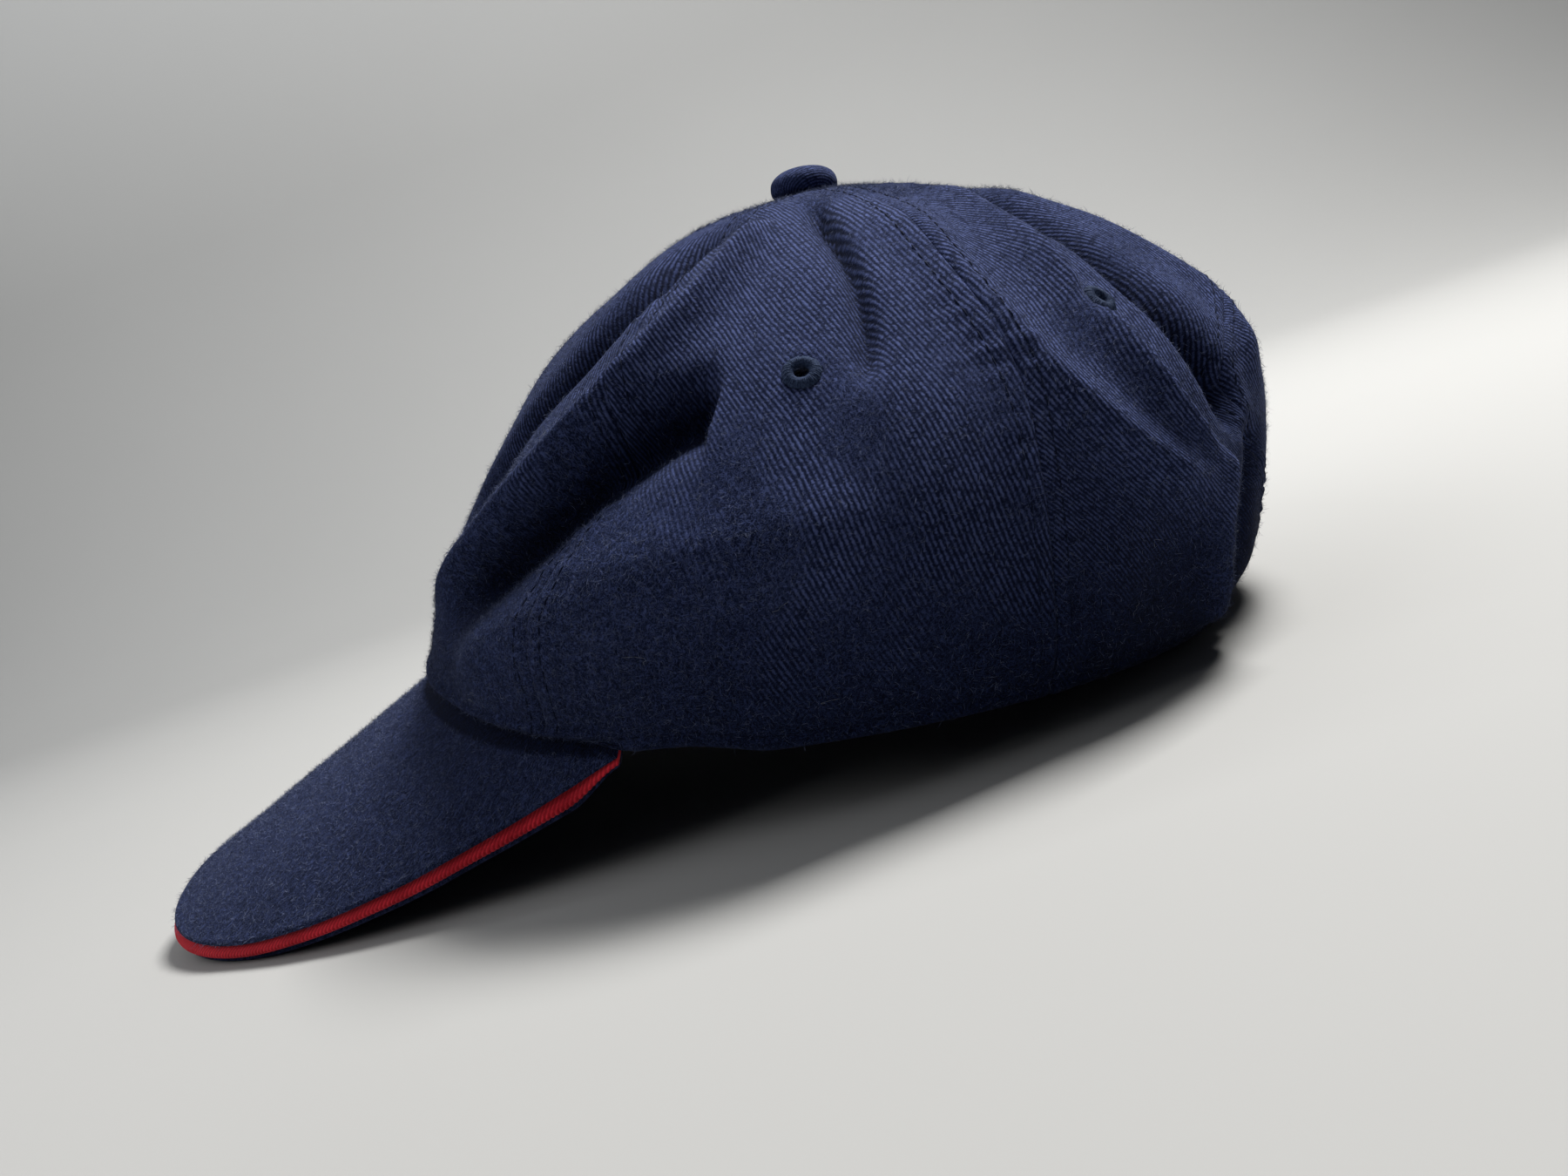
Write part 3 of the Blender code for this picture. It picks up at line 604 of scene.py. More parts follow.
def waves(points, length, seed):
    """A smooth irregular wave of about this length, between about -1 and 1, with the same result each run."""
    draw = np.random.default_rng(seed)
    total = np.zeros(points.shape[:-1])
    for _ in range(WAVE_COUNT):
        way = draw.normal(size=points.shape[-1])
        way *= 2 * math.pi / length * draw.uniform(*WAVE_SPREAD) / np.linalg.norm(way)
        total += np.sin(points @ way + draw.uniform(0, 2 * math.pi))
    return total / math.sqrt(WAVE_COUNT / 2) / WAVE_TOP


def walked(points, axis):
    """The distance walked along one axis of a grid of points."""
    steps = np.linalg.norm(np.diff(points, axis=axis), axis=-1)
    start = np.zeros_like(np.take(steps, [0], axis))
    return np.concatenate([start, np.cumsum(steps, axis)], axis)


def panel_steps():
    """The levels of a panel's rows and the shares of its columns, crowded at the hem and at the seams."""
    t = np.linspace(0, 1, PANEL_ROWS + 1)
    level = (ROW_CROWDING * t + (1 - ROW_CROWDING) * t**2) * (1 - APEX_HOLE_LEVEL)
    s = np.linspace(0, 1, PANEL_COLUMNS + 1)
    across = s - COLUMN_CROWDING * np.sin(2 * math.pi * s) / (2 * math.pi)
    return level[:, None], across[None, :]


def panel_base(name, number):
    """One panel with its folds but without its seams, in the cap's frame: its points, outward directions,
    angles and levels, its points before the folds, and how far the folds push it out."""
    side = SIDES[name]
    level, across = panel_steps()
    start = seam_angle(SEAMS[name][number], level)
    end = seam_angle(SEAMS[name][number + 1], level)
    level = level + 0 * across
    angle = start + (end - start) * across
    plain = plain_crown(side, angle, level)
    held = ease(level / HEM_HOLDS_LEVEL)
    slack = SLACK * waves(plain, SLACK_WAVE, SLACK_SEED)
    offset = held * fold_offset(plain)
    points = plain + normals_of(plain, side) * (offset + held * slack)[..., None]
    return points, normals_of(points, side), angle, level, plain, offset


def seam_relief(near, up, seed):
    """How the cloth lies at this distance from a seam: a groove, the lap under it and a line of stitches,
    with puckers between them."""
    groove = -SEAM_GROOVE * dent(near, SEAM_GROOVE_WIDTH)
    lap = SEAM_LAP_RISE * ease((SEAM_LAP - near) / SEAM_LAP_EDGE)
    dip = -STITCH_DIP * dent(near - SEAM_STITCH_OFFSET, STITCH_DIP_WIDTH)
    pucker = PUCKER * waves(up[..., None], PUCKER_WAVE, seed) * hump(near - SEAM_STITCH_OFFSET, PUCKER_REACH)
    return groove + lap + dip + pucker * ease(near / SEAM_GROOVE_WIDTH)


def hem_relief(up, round_way):
    """How the cloth lies at this height over the hem's edge: a rolled band under a line of stitches."""
    roll = HEM_ROLL_RISE * hump(up - HEM_ROLL / 2, HEM_ROLL / 2)
    dip = -STITCH_DIP * dent(up - HEM_ROLL, STITCH_DIP_WIDTH)
    pucker = HEM_PUCKER * waves(round_way[..., None], PUCKER_WAVE, HEM_SEED)
    return roll + dip + pucker * hump(up - 2 * HEM_ROLL, PUCKER_REACH)


def over_peak(angle):
    """1 where the crown stands on the peak, 0 behind the peak's corners."""
    return ease((PEAK_CORNER_ANGLE + HEM_DROP_START - from_front(angle)) / FRONT_FADE_ANGLE)


def front_tuck(points, side, angle, up):
    """Turns the crown's lowest cloth in under itself where it is sewn to the peak, clear of the peak."""
    turn = np.radians(angle)
    flat = joined(side * np.sin(turn), -np.cos(turn), 0)
    under = 1 - ease((up - FRONT_TUCK_HEIGHT) / (FRONT_LIP_HEIGHT - FRONT_TUCK_HEIGHT))
    lip = FRONT_LIP * hump(up - FRONT_LIP_MIDDLE, FRONT_LIP_WIDTH)
    tucked = points + flat * (over_peak(angle) * (lip - FRONT_TUCK * under))[..., None]
    return lifted_off_peak(tucked, angle, up)


def lifted_off_peak(points, angle, up):
    """Lifts the crown's lowest points clear of the peak."""
    seat = peak_height(points[..., 0], points[..., 1]) + HEM_CLEARANCE
    near_peak = (from_front(angle) < PEAK_CORNER_ANGLE + HEM_DROP_START) & (up < 5 * FRONT_LIP_HEIGHT)
    lifted = points.copy()
    lifted[..., 2] = np.where(near_peak, np.maximum(points[..., 2], seat), points[..., 2])
    return lifted


def beyond_hem(x, y):
    """How far outside the crown's hem a place lies, seen from above, and its angle from the front."""
    turn = np.arctan2(x / HALF_WIDTH, -y / HALF_LENGTH)
    return np.hypot(x, y) - np.hypot(*hem_foot(turn)), np.degrees(np.abs(turn))


# One panel as it is sewn: its outer points, its outward directions, how its inner points are moved to clear
# the peak, how far its rounded hem bulges down, its weave, and how far each point lies from the panel's front
# edge and from the hem, measured on the cloth
Cloth = namedtuple("Cloth", "points out cleared hem_round weave round_way up")


def panel_cloth(name, number):
    """One panel as it is sewn, in the cap's frame."""
    side = SIDES[name]
    points, out, angle, level, plain, offset = panel_base(name, number)
    round_way, up = walked(plain, 1), walked(plain, 0)
    width = round_way[:, -1:]
    front_seam = SEAM_SEED + number * side
    rear_seam = SEAM_SEED + (len(PANELS) if number == len(PANELS) - 1 else (number + 1) * side)
    relief = seam_relief(round_way, up, front_seam) + seam_relief(width - round_way, up, rear_seam)
    relief = relief * ease(width / (4 * SEAM_LAP))
    relief = relief + hem_relief(up, HALF_WIDTH * np.radians(angle) * side)
    points = points + out * relief[..., None]
    points = front_tuck(points, side, angle, up)
    middle = round_way[:, [PANEL_COLUMNS // 2]]
    # Painted shadow: the cloth turned in under the front lip is painted dark up to FRONT_SHADE
    seen = 1 - over_peak(angle) * ease((FRONT_SHADE - up) / (FRONT_SHADE - FRONT_TUCK_HEIGHT))
    # The cloth's colour carries painted light and shade: darker low down and in its hollows, lighter at the top
    # and on its ridges
    painted_light_and_shade = painted_shading_of(points, offset, level) * seen
    weave = joined((round_way - middle) * side, up, nap_of(points), painted_light_and_shade)
    out = normals_of(points, side)
    inner = points - out * CLOTH
    cleared = lifted_off_peak(inner, angle, up) - inner
    hem_round = HEM_ROUND * (1 - over_peak(angle[0]))
    return Cloth(points, out, cleared, hem_round, weave, round_way, up)


def nap_of(points):
    """How much of the twill is hidden by brushed nap, from 0 to 1: most low on the front and at the back."""
    height = points[..., 2] / CROWN_HEIGHT
    ahead = -points[..., 1] / HALF_LENGTH
    low_front = ease(1.3 - 1.7 * height) * ease(0.55 + 0.9 * ahead)
    low_back = ease(1.0 - 2.4 * height) * ease(0.8 - 0.9 * ahead)
    top = ease((height - 0.88) / 0.12)
    patches = NAP_PATCHES * waves(points, NAP_PATCH_WAVE, NAP_SEED)
    return np.clip(np.maximum(np.maximum(low_front, 0.85 * low_back), 0.6 * top) + patches, LEAST_NAP, 1)


def painted_shading_of(points, offset, level):
    """Painted light and shade on the cloth, from 0, darkest, to 1, lightest: lightest at the top, along its
    ridges and low on the front, darkest low down elsewhere and in its hollows, where shade falls."""
    front, back = ease(-2 * points[..., 1] / HALF_LENGTH), ease(points[..., 1] / HALF_LENGTH)
    low_front = 0.20 * ease(1.2 - 3 * level) * front
    high_front = 0.35 * ease(3 * level - 1) * front
    low_back = 0.45 * ease(1.4 - 2 * level) * back
    upward = 0.25 + 0.75 * ease(level / 0.48)
    return np.clip(upward + low_front - high_front - low_back + offset / PAINTED_SHADE_DEPTH, 0, 1)


def rest_pose(rear_hem, peak_low):
    """The pose that stands the cap on its peak and, a little pressed down, on the back of its hem."""

    def heights(points, tip):
        return points[..., 2] * math.cos(tip) - points[..., 1] * math.sin(tip)

    least, most = 0.0, math.radians(MOST_TIP)
    for _ in range(TIP_HALVINGS):
        tip = (least + most) / 2
        if heights(peak_low, tip).min() < heights(rear_hem, tip).min() + HEM_SETTLE:
            least = tip
        else:
            most = tip
    return Matrix.Translation((0, 0, -heights(peak_low, tip).min())) @ Matrix.Rotation(-tip, 4, "X")


def moved(points, pose):
    """Points in another frame."""
    turn = np.array(pose)
    return points @ turn[:3, :3].T + turn[:3, 3]


def turned_by(vectors, pose):
    """Directions in another frame."""
    return vectors @ np.array(pose)[:3, :3].T


def mesh_of(name, points, faces, weave=None):
    """A smooth mesh from points and faces, with what would reach below the floor pressed flat. weave gives
    each point its place on the flat cloth, in metres, its nap and its painted light and shade."""
    mesh = bpy.data.meshes.new(name)
    mesh.from_pydata(above_floor(points).reshape(-1, 3).tolist(), [], faces)
    mesh.shade_smooth()
    if weave is not None:
        weave = np.asarray(weave, np.float32).reshape(-1, 4)
        attribute = mesh.attributes.new("weave", "FLOAT_VECTOR", "POINT")
        attribute.data.foreach_set("vector", weave[:, :3].reshape(-1))
        attribute = mesh.attributes.new("painted_light_and_shade", "FLOAT", "POINT")
        attribute.data.foreach_set("value", weave[:, 3].copy())
    return mesh


def placed(name, data):
    """Puts an object in the scene."""
    ob = bpy.data.objects.new(name, data)
    bpy.context.scene.collection.objects.link(ob)
    return ob


def piece(name, mesh, look, slot, *nodes):
    """Puts a mesh in the scene as a piece of the cap that stands for these nodes."""
    mesh.materials.append(look)
    ob = placed(name, mesh)
    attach(ob, "root")
    if nodes:
        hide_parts(*nodes)


def quads(a, b, c, d, flipped=False):
    """Faces from four equal arrays of point numbers."""
    faces = np.stack([a, b, c, d], -1).reshape(-1, 4)
    return (faces[:, ::-1] if flipped else faces).tolist()


def wall_mesh(name, outer, inner, weave, flipped, holes, hem_round):
    """A closed wall between two grids of points that run the same way, cut through round the middle of each
    hole. hem_round is how far its first row bulges down, for each column."""
    rows, columns = outer.shape[:2]
    count = rows * columns
    number = numbered(rows, columns)
    a, b, c, d = number[:-1, :-1], number[:-1, 1:], number[1:, 1:], number[1:, :-1]
    kept = np.ones(a.shape, bool)
    middles = (outer[:-1, :-1] + outer[:-1, 1:] + outer[1:, 1:] + outer[1:, :-1]) / 4
    for centre, radius in holes:
        kept &= np.linalg.norm(middles - centre, axis=-1) > radius
    faces = quads(a[kept], b[kept], c[kept], d[kept], flipped)
    faces += quads(*(k[kept] + count for k in (a, b, c, d)), not flipped)
    padded = np.zeros((rows + 1, columns + 1), bool)
    padded[1:-1, 1:-1] = kept
    for i, j in zip(*np.nonzero(padded[1:, 1:-1] != padded[:-1, 1:-1])):
        # The first row's edge is closed by the rounded row below it
        if i == 0:
            continue
        left, right = number[i, j], number[i, j + 1]
        faces += quads(left, left + count, right + count, right, flipped == padded[i + 1, j + 1])
    for i, j in zip(*np.nonzero(padded[1:-1, 1:] != padded[1:-1, :-1])):
        low, high = number[i, j], number[i + 1, j]
        faces += quads(low, low + count, high + count, high, flipped != padded[i + 1, j + 1])
    rounded = (outer[0] + inner[0]) / 2 + unit(outer[0] - outer[1]) * hem_round[:, None]
    middle = 2 * count + np.arange(columns)
    faces += quads(number[0, :-1], middle[:-1], middle[1:], number[0, 1:], flipped)
    faces += quads(middle[:-1], number[0, :-1] + count, number[0, 1:] + count, middle[1:], flipped)
    for j, turned in ((0, flipped), (columns - 1, not flipped)):
        ends = [number[0, j], number[0, j] + count, middle[j]]
        faces.append(ends[::-1] if turned else ends)
    points = np.concatenate([outer.reshape(-1, 3), inner.reshape(-1, 3), rounded])
    weave = weave.reshape(-1, 4)
    return mesh_of(name, points, faces, np.concatenate([weave, weave, weave[:columns]]))


def tube(number, flipped=False):
    """The faces of a closed tube, or of several, from its points' numbers in rings."""
    beside = np.roll(number, -1, -1)
    a, b, c, d = number[..., :-1, :], beside[..., :-1, :], beside[..., 1:, :], number[..., 1:, :]
    faces = quads(a, d, c, b) if flipped else quads(a, b, c, d)
    first, last = number[..., 0, :], number[..., -1, :]
    for end in (first, last[..., ::-1]) if flipped else (first[..., ::-1], last):
        faces += end.reshape(-1, number.shape[-1]).tolist()
    return faces


class Graph:
    """One material's nodes."""

    def __init__(self, name):
        self.material = bpy.data.materials.new(name)
        self.material.use_nodes = True
        self.nodes = self.material.node_tree.nodes
        self.links = self.material.node_tree.links
        self.shader = self.nodes["Principled BSDF"]

    def put(self, socket, value):
        """Sets a socket to a value or a colour, or links another socket to it."""
        if isinstance(value, bpy.types.NodeSocket):
            self.links.new(value, socket)
        elif socket.type == "RGBA":
            socket.default_value = (*value, 1)
        else:
            socket.default_value = value

    def node(self, kind, inputs, output=0, **settings):
        """One output of a new node with these settings, and inputs by their number or name."""
        made = self.nodes.new(kind)
        for key, value in settings.items():
            setattr(made, key, value)
        for key, value in inputs.items():
            self.put(made.inputs[key], value)
        return made.outputs[output]

    def attribute(self, name, output):
        return self.node("ShaderNodeAttribute", {}, output, attribute_name=name)

    def place(self):
        """Where a point lies in its object."""
        return self.node("ShaderNodeTexCoord", {}, "Object")

    def parts(self, vector):
        return self.node("ShaderNodeSeparateXYZ", {0: vector}).node.outputs

    def math(self, operation, a, b=0.0):
        return self.node("ShaderNodeMath", {0: a, 1: b}, operation=operation)

    def add(self, a, b):
        return self.math("ADD", a, b)

    def times(self, a, b):
        return self.math("MULTIPLY", a, b)

    def wave(self, turns):
        """Goes from 1 to 0 and back over each turn."""
        return self.add(self.times(self.math("COSINE", self.times(turns, 2 * math.pi)), 0.5), 0.5)

    def between(self, share, a, b):
        """Goes from one value to another."""
        return self.node("ShaderNodeMix", {0: share, 2: a, 3: b}, data_type="FLOAT")

    def colour(self, share, a, b, **settings):
        """Goes from one colour to another."""
        return self.node("ShaderNodeMix", {0: share, 6: a, 7: b}, 2, data_type="RGBA", **settings)

    def multiplied(self, a, b):
        """Two colours multiplied."""
        return self.colour(1.0, a, b, blend_type="MULTIPLY")

    def scaled(self, vector, scale):
        return self.node("ShaderNodeVectorMath", {0: vector, 1: scale}, operation="MULTIPLY")

    def noise(self, vector, scale, detail, roughness=0.5, distortion=0.0):
        inputs = {"Vector": vector, "Scale": scale, "Detail": detail, "Roughness": roughness}
        inputs["Distortion"] = distortion
        return self.node("ShaderNodeTexNoise", inputs, "Fac")

    def hairs(self, vector, scale, width):
        """Thin curly lines, from 0 between them to 1 along them."""
        noise = self.noise(vector, scale, HAIR_DETAIL, HAIR_ROUGHNESS, HAIR_CURL)
        apart = self.math("ABSOLUTE", self.add(noise, -0.5))
        return self.steep(apart, width, 0.0)

    def steep(self, value, low, high):
        """Goes from 0 to 1 as the value goes from low to high."""
        inputs = {"Value": value, "From Min": low, "From Max": high}
        return self.node("ShaderNodeMapRange", inputs, interpolation_type="SMOOTHSTEP")

    def finish(self, colour, height, distance, roughness, sheen):
        """Sets the shader. sheen is a weight and a colour."""
        settings = {
            "Base Color": colour,
            "Roughness": roughness,
            "Specular IOR Level": CLOTH_SPECULAR,
            "Sheen Weight": sheen[0],
            "Sheen Roughness": SHEEN_ROUGHNESS,
            "Sheen Tint": sheen[1],
            "Normal": self.node("ShaderNodeBump", {"Height": height, "Distance": distance}),
        }
        for key, value in settings.items():
            self.put(self.shader.inputs[key], value)
        return self.material


def twill(name, sheen):
    """Brushed navy cotton twill: slanted ridges of short floats, hidden by nap where the cloth's nap value is
    high. Its colour is darker between the floats, as painted shade in the grooves, and carries the cloth's
    painted light and shade."""
    g = Graph(name)
    weave = g.attribute("weave", "Vector")
    parts = g.parts(weave)
    flat = g.scaled(weave, (1, 1, 0))
    slant = math.radians(TWILL_SLANT)
    across = g.add(g.times(parts[0], math.cos(slant)), g.times(parts[1], math.sin(slant)))
    along = g.add(g.times(parts[1], math.cos(slant)), g.times(parts[0], -math.sin(slant)))
    drift = g.add(g.times(g.noise(flat, *DRIFT), 0.9), g.times(g.noise(flat, *WOBBLE), 0.5))
    turns = g.add(g.times(across, 1 / TWILL_PITCH), drift)
    row = g.math("FLOOR", g.add(turns, 0.5))
    place = g.node("ShaderNodeCombineXYZ", {0: g.times(along, 1 / TWILL_FLOAT), 1: g.times(row, ROW_SHIFT)})
    slub = g.steep(g.noise(place, *SLUB), 0.30, 0.68)
    yarn = g.times(g.math("POWER", g.wave(turns), 1.2), g.add(g.times(slub, 0.85), 0.15))
    grain = g.noise(flat, *GRAIN)
    lying = g.noise(g.scaled(weave, (1.0, 0.45, 0)), *BRUSHED)
    hairs = g.math("MAXIMUM", g.hairs(flat, *LONG_HAIRS), g.times(g.hairs(flat, *SHORT_HAIRS), 0.8))
    fuzz = g.add(g.times(lying, 0.75), g.times(hairs, 0.45))
    small, large = g.noise(flat, *SMALL_PATCHES), g.noise(flat, *LARGE_PATCHES)
    patches = g.add(g.times(small, 0.35), g.times(large, 0.45))
    nap = g.steep(g.add(parts[2], patches), 0.40, 1.10)
    woven_relief = g.add(g.times(yarn, 0.8), g.times(grain, 0.35))
    relief = g.between(nap, woven_relief, g.add(g.times(fuzz, 0.8), g.times(yarn, 0.15)))
    shown = g.add(g.times(yarn, g.add(g.times(grain, 1.5), 0.2)), g.times(hairs, 0.25))
    # Painted shade in the grooves: the colour is lighter on the floats and darker between them, over the yarn's
    # own grain and hairs
    woven_with_groove_shade = g.colour(g.steep(g.add(shown, g.times(grain, 0.25)), 0.12, 1.05), NAVY_DARK, NAVY_LIGHT)
    brushed = g.colour(g.steep(fuzz, 0.30, 0.80), NAVY_DARK, NAVY_NAP)
    worn = g.colour(g.times(g.steep(g.noise(flat, *WEAR), 0.35, 0.8), 0.35), WHITE, WORN)
    # Painted light and shade: the colour is darkened towards the shaded tint where the attribute is low
    painted_shading = g.colour(g.attribute("painted_light_and_shade", "Fac"), PAINTED_SHADE_TINT, WHITE)
    colour = g.multiplied(g.multiplied(g.colour(nap, woven_with_groove_shade, brushed), worn), painted_shading)
    return g.finish(colour, relief, TWILL_RELIEF, TWILL_ROUGHNESS, sheen)


def strands(name, strand, colours, sheen):
    """Thread or loose fibre, whose shade changes along it."""
    g = Graph(name)
    shade = g.noise(g.place(), strand.scale, strand.detail)
    colour = g.colour(g.steep(shade, 0.3, 0.7), *colours)
    return g.finish(colour, shade, strand.relief, strand.roughness, sheen)


def tape(name, colours, sheen):
    """Ribbed tape, whose ribs are in its mesh, with painted shade darkening its colour in the grooves between
    them.
    """
    g = Graph(name)
    weave = g.attribute("weave", "Vector")
    rib = g.wave(g.times(g.parts(weave)[0], 1 / TRIM_RIB_PITCH))
    grain, shade = g.noise(weave, *TAPE_GRAIN), g.noise(weave, *TAPE_SHADE)
    mottle = g.add(g.times(grain, 0.6), g.times(shade, 0.4))
    # Painted shade: the colour is darker in the grooves between the ribs
    share = g.times(g.steep(mottle, 0.2, 0.7), g.add(g.times(rib, 0.75), 0.25))
    return g.finish(g.colour(share, *colours), grain, TAPE_RELIEF, TAPE_ROUGHNESS, sheen)


# A panel in the scene: its outer points, its outward directions, its weave, and how far each point lies from
# the panel's front edge and from the hem
Surface = namedtuple("Surface", "outer out weave round_way up")


def make_crown(pose, look, eyelets):
    """The six panels, flattened and cut round their eyelets. Returns their surfaces."""
    surfaces = {}
    for name, side in SIDES.items():
        for number, part in enumerate(PANELS):
            cloth = panel_cloth(name, number)
            node = f"panel_{part}_{name}"
            outer = moved(cloth.points, pose)
            out = turned_by(cloth.out, pose)
            holes = []
            if (name, number) in eyelets:
                outer, out, centre, normal = flattened(outer, out, eyelets[name, number])
                eyelets[name, number] = centre, normal
                holes.append((centre, EYELET_CUT))
            inner = outer - out * CLOTH + turned_by(cloth.cleared, pose)
            inner[0, outer[0, :, 2] <= 0, 2] = 0
            outer, inner = above_floor(outer), above_floor(inner)
            mesh = wall_mesh(node, outer, inner, cloth.weave, side < 0, holes, cloth.hem_round)
            piece(f"cloth_{part}_{name}", mesh, look, "navy_twill", node)
            surfaces[name, number] = Surface(outer, out, cloth.weave, cloth.round_way, cloth.up)
    return surfaces


def flattened(outer, out, centre):
    """Lays the cloth round an eyelet on its tangent plane, as its stiff stitching does. Returns the cloth's
    points and outward directions and the eyelet's centre and direction."""
    nearest = np.unravel_index(np.linalg.norm(outer - centre, axis=-1).argmin(), outer.shape[:2])
    around = np.linalg.norm(outer - outer[nearest], axis=-1)
    near = around < EYELET_FLAT
    normal = unit(out[near].mean(0))
    middle = outer[around < EYELET_RADIUS].mean(0)
    share = ease((EYELET_FLAT - around) / (EYELET_FLAT - EYELET_RADIUS))
    height = (outer - middle) @ normal
    outer = outer - (height * share)[..., None] * normal
    out = unit(out * (1 - share[..., None]) + normal * share[..., None])
    return outer, out, outer[nearest], normal


def make_eyelets(eyelets, look):
    """Stitched rings: satin stitches side by side over a rolled edge."""
    steps = EYELET_THREADS * EYELET_THREAD_STEPS
    turn = 2 * math.pi * np.arange(steps) / steps
    thread_number = np.arange(steps) // EYELET_THREAD_STEPS
    within = (np.arange(steps) % EYELET_THREAD_STEPS + 0.5) / EYELET_THREAD_STEPS
    bulge = np.sin(math.pi * within)
    for (name, number), (centre, normal) in eyelets.items():
        draw = np.random.default_rng(EYELET_SEED + 10 * number + SIDES[name])
        reach = draw.uniform(-1, 1, EYELET_THREADS)[thread_number]
        lift = draw.uniform(-1, 1, EYELET_THREADS)[thread_number]
        loops = []
        for ring in EYELET_RINGS:
            r = EYELET_HOLE_RADIUS + (EYELET_RADIUS - EYELET_HOLE_RADIUS) * ring.radius
            uneven = EYELET_UNEVEN * reach + EYELET_THREAD_SPREAD * EYELET_THREAD_RISE * bulge
            r = r + ring.threads * uneven * ring.radius
            rise = EYELET_THREAD_RISE * (bulge + EYELET_THREAD_LIFT * lift)
            h = EYELET_RISE * ring.height + ring.threads * rise
            loops.append(joined(r * np.cos(turn), r * np.sin(turn), h))
        point = numbered(len(loops), steps)
        below, beside = np.roll(point, -1, 0), np.roll(point, -1, 1)
        faces = quads(point, beside, np.roll(below, -1, 1), below, True)
        turned = Vector(normal).to_track_quat("Z", "Y").to_matrix().to_4x4()
        place = Matrix.Translation(centre) @ turned
        mesh = mesh_of("eyelet", moved(np.stack(loops), place), faces)
        part = PANELS[number]
        piece(f"stitched_eyelet_{part}_{name}", mesh, look, "navy_thread", f"eyelet_{part}_{name}")


def make_button(pose, look):
    """The cloth-covered button, gathered under its edge."""
    turn = 2 * math.pi * np.arange(BUTTON_SIDES) / BUTTON_SIDES
    cosine, sine = np.cos(turn), np.sin(turn)
    gathers = np.sin(turn * BUTTON_GATHERS + 1.3 * np.sin(3 * turn))
    loops, weaves = [], []
    for ring in BUTTON_RINGS:
        gathered = gathers * ease((0.55 - ring.height) / 0.5) * ease(ring.radius * 2)
        r = BUTTON_RADIUS * ring.radius * (1 + BUTTON_UNEVEN * (gathered + np.sin(2 * turn + 0.7)))
        h = BUTTON_THICK * (ring.height + BUTTON_TILT * np.sin(turn + 1.0) * ring.radius)
        loops.append(joined(r * cosine, r * sine + APEX_SETBACK, h + CROWN_HEIGHT + BUTTON_GAP))
        spread = ring.radius if ring.height > BUTTON_SHOULDER else 1 + BUTTON_SHOULDER - ring.height
        weaves.append(joined(BUTTON_RADIUS * spread * cosine, BUTTON_RADIUS * spread * sine, BUTTON_NAP, 1))
    faces = tube(numbered(len(loops), BUTTON_SIDES))
    mesh = mesh_of("button", moved(np.stack(loops), pose), faces, np.stack(weaves))
    piece("covered_button", mesh, look, "navy_twill", "top_button")


def peak_plan(columns):
    """The peak seen from above: matching points of its root and its edge, from right to left, and how far
    along the edge they lie."""
    corner_x, corner_y = corner()
    turn = np.radians(np.linspace(-90, 90, 4 * columns + 1))
    power = 2 / PEAK_ROUNDNESS
    ahead = np.abs(np.cos(turn)) ** power
    edge_x = corner_x * np.sign(turn) * np.abs(np.sin(turn)) ** power * (1 - PEAK_TAPER * ahead)
    edge_y = corner_y - PEAK_REACH * ahead
    edge = joined(edge_x, edge_y)
    way = walked(edge, 0)
    even = np.linspace(0, way[-1], columns + 1)
    root_turn = np.radians(np.linspace(-PEAK_CORNER_ANGLE, PEAK_CORNER_ANGLE, columns + 1))
    root_x = (HALF_WIDTH - PEAK_TUCK) * np.sin(root_turn)
    root_y = -(HALF_LENGTH - PEAK_TUCK) * np.cos(root_turn)
    return joined(root_x, root_y), at_places(even, way, edge), even


def peak_points(plan):
    """Lifts plan points onto the peak's upper surface, with the outward direction there."""
    x, y = plan[..., 0], plan[..., 1]
    step = PEAK_SLOPE_STEP
    slope_x = (peak_height(x + step, y) - peak_height(x - step, y)) / (2 * step)
    slope_y = (peak_height(x, y + step) - peak_height(x, y - step)) / (2 * step)
    out = unit(joined(-slope_x, -slope_y, 1))
    points = joined(x, y, peak_height(x, y))
    slack = PEAK_SLACK * waves(points, PEAK_SLACK_WAVE, PEAK_SEED)
    return points + out * slack[..., None], out


def peak_layer(cover=None):
    """One layer of the peak, a cover or else the tape, as closed sections from right to left: points, outward
    directions and weave."""
    root, edge, along = peak_plan(PEAK_COLUMNS if cover else TRIM_COLUMNS)
    reach = np.linalg.norm(edge - root, axis=-1)
    forward = (edge - root) / reach[:, None]
    from_corner = np.minimum(along, along[-1] - along)
    thin = PEAK_CORNER_THIN + (1 - PEAK_CORNER_THIN) * ease(from_corner / PEAK_CORNER_RUN)
    inward, depth = cover_section(cover, reach, thin) if cover else trim_section(reach, thin, along)
    plan = edge - forward * inward[..., None]
    points, out = peak_points(plan)
    points = points - out * depth[..., None]
    # A band of painted shadow on the peak along the crown's hem, narrowing towards the corners; past it the
    # peak's cloth keeps its set lightness
    beyond, angle = beyond_hem(plan[..., 0], plan[..., 1])
    shade = PEAK_SHADE * ease((PEAK_CORNER_ANGLE - angle) / PEAK_SHADE_TAPER)
    painted_shading = PEAK_LIGHTNESS * ease((beyond - shade) / PEAK_SHADE_EDGE)
    return points, out, joined(along, -inward, PEAK_NAP, painted_shading)


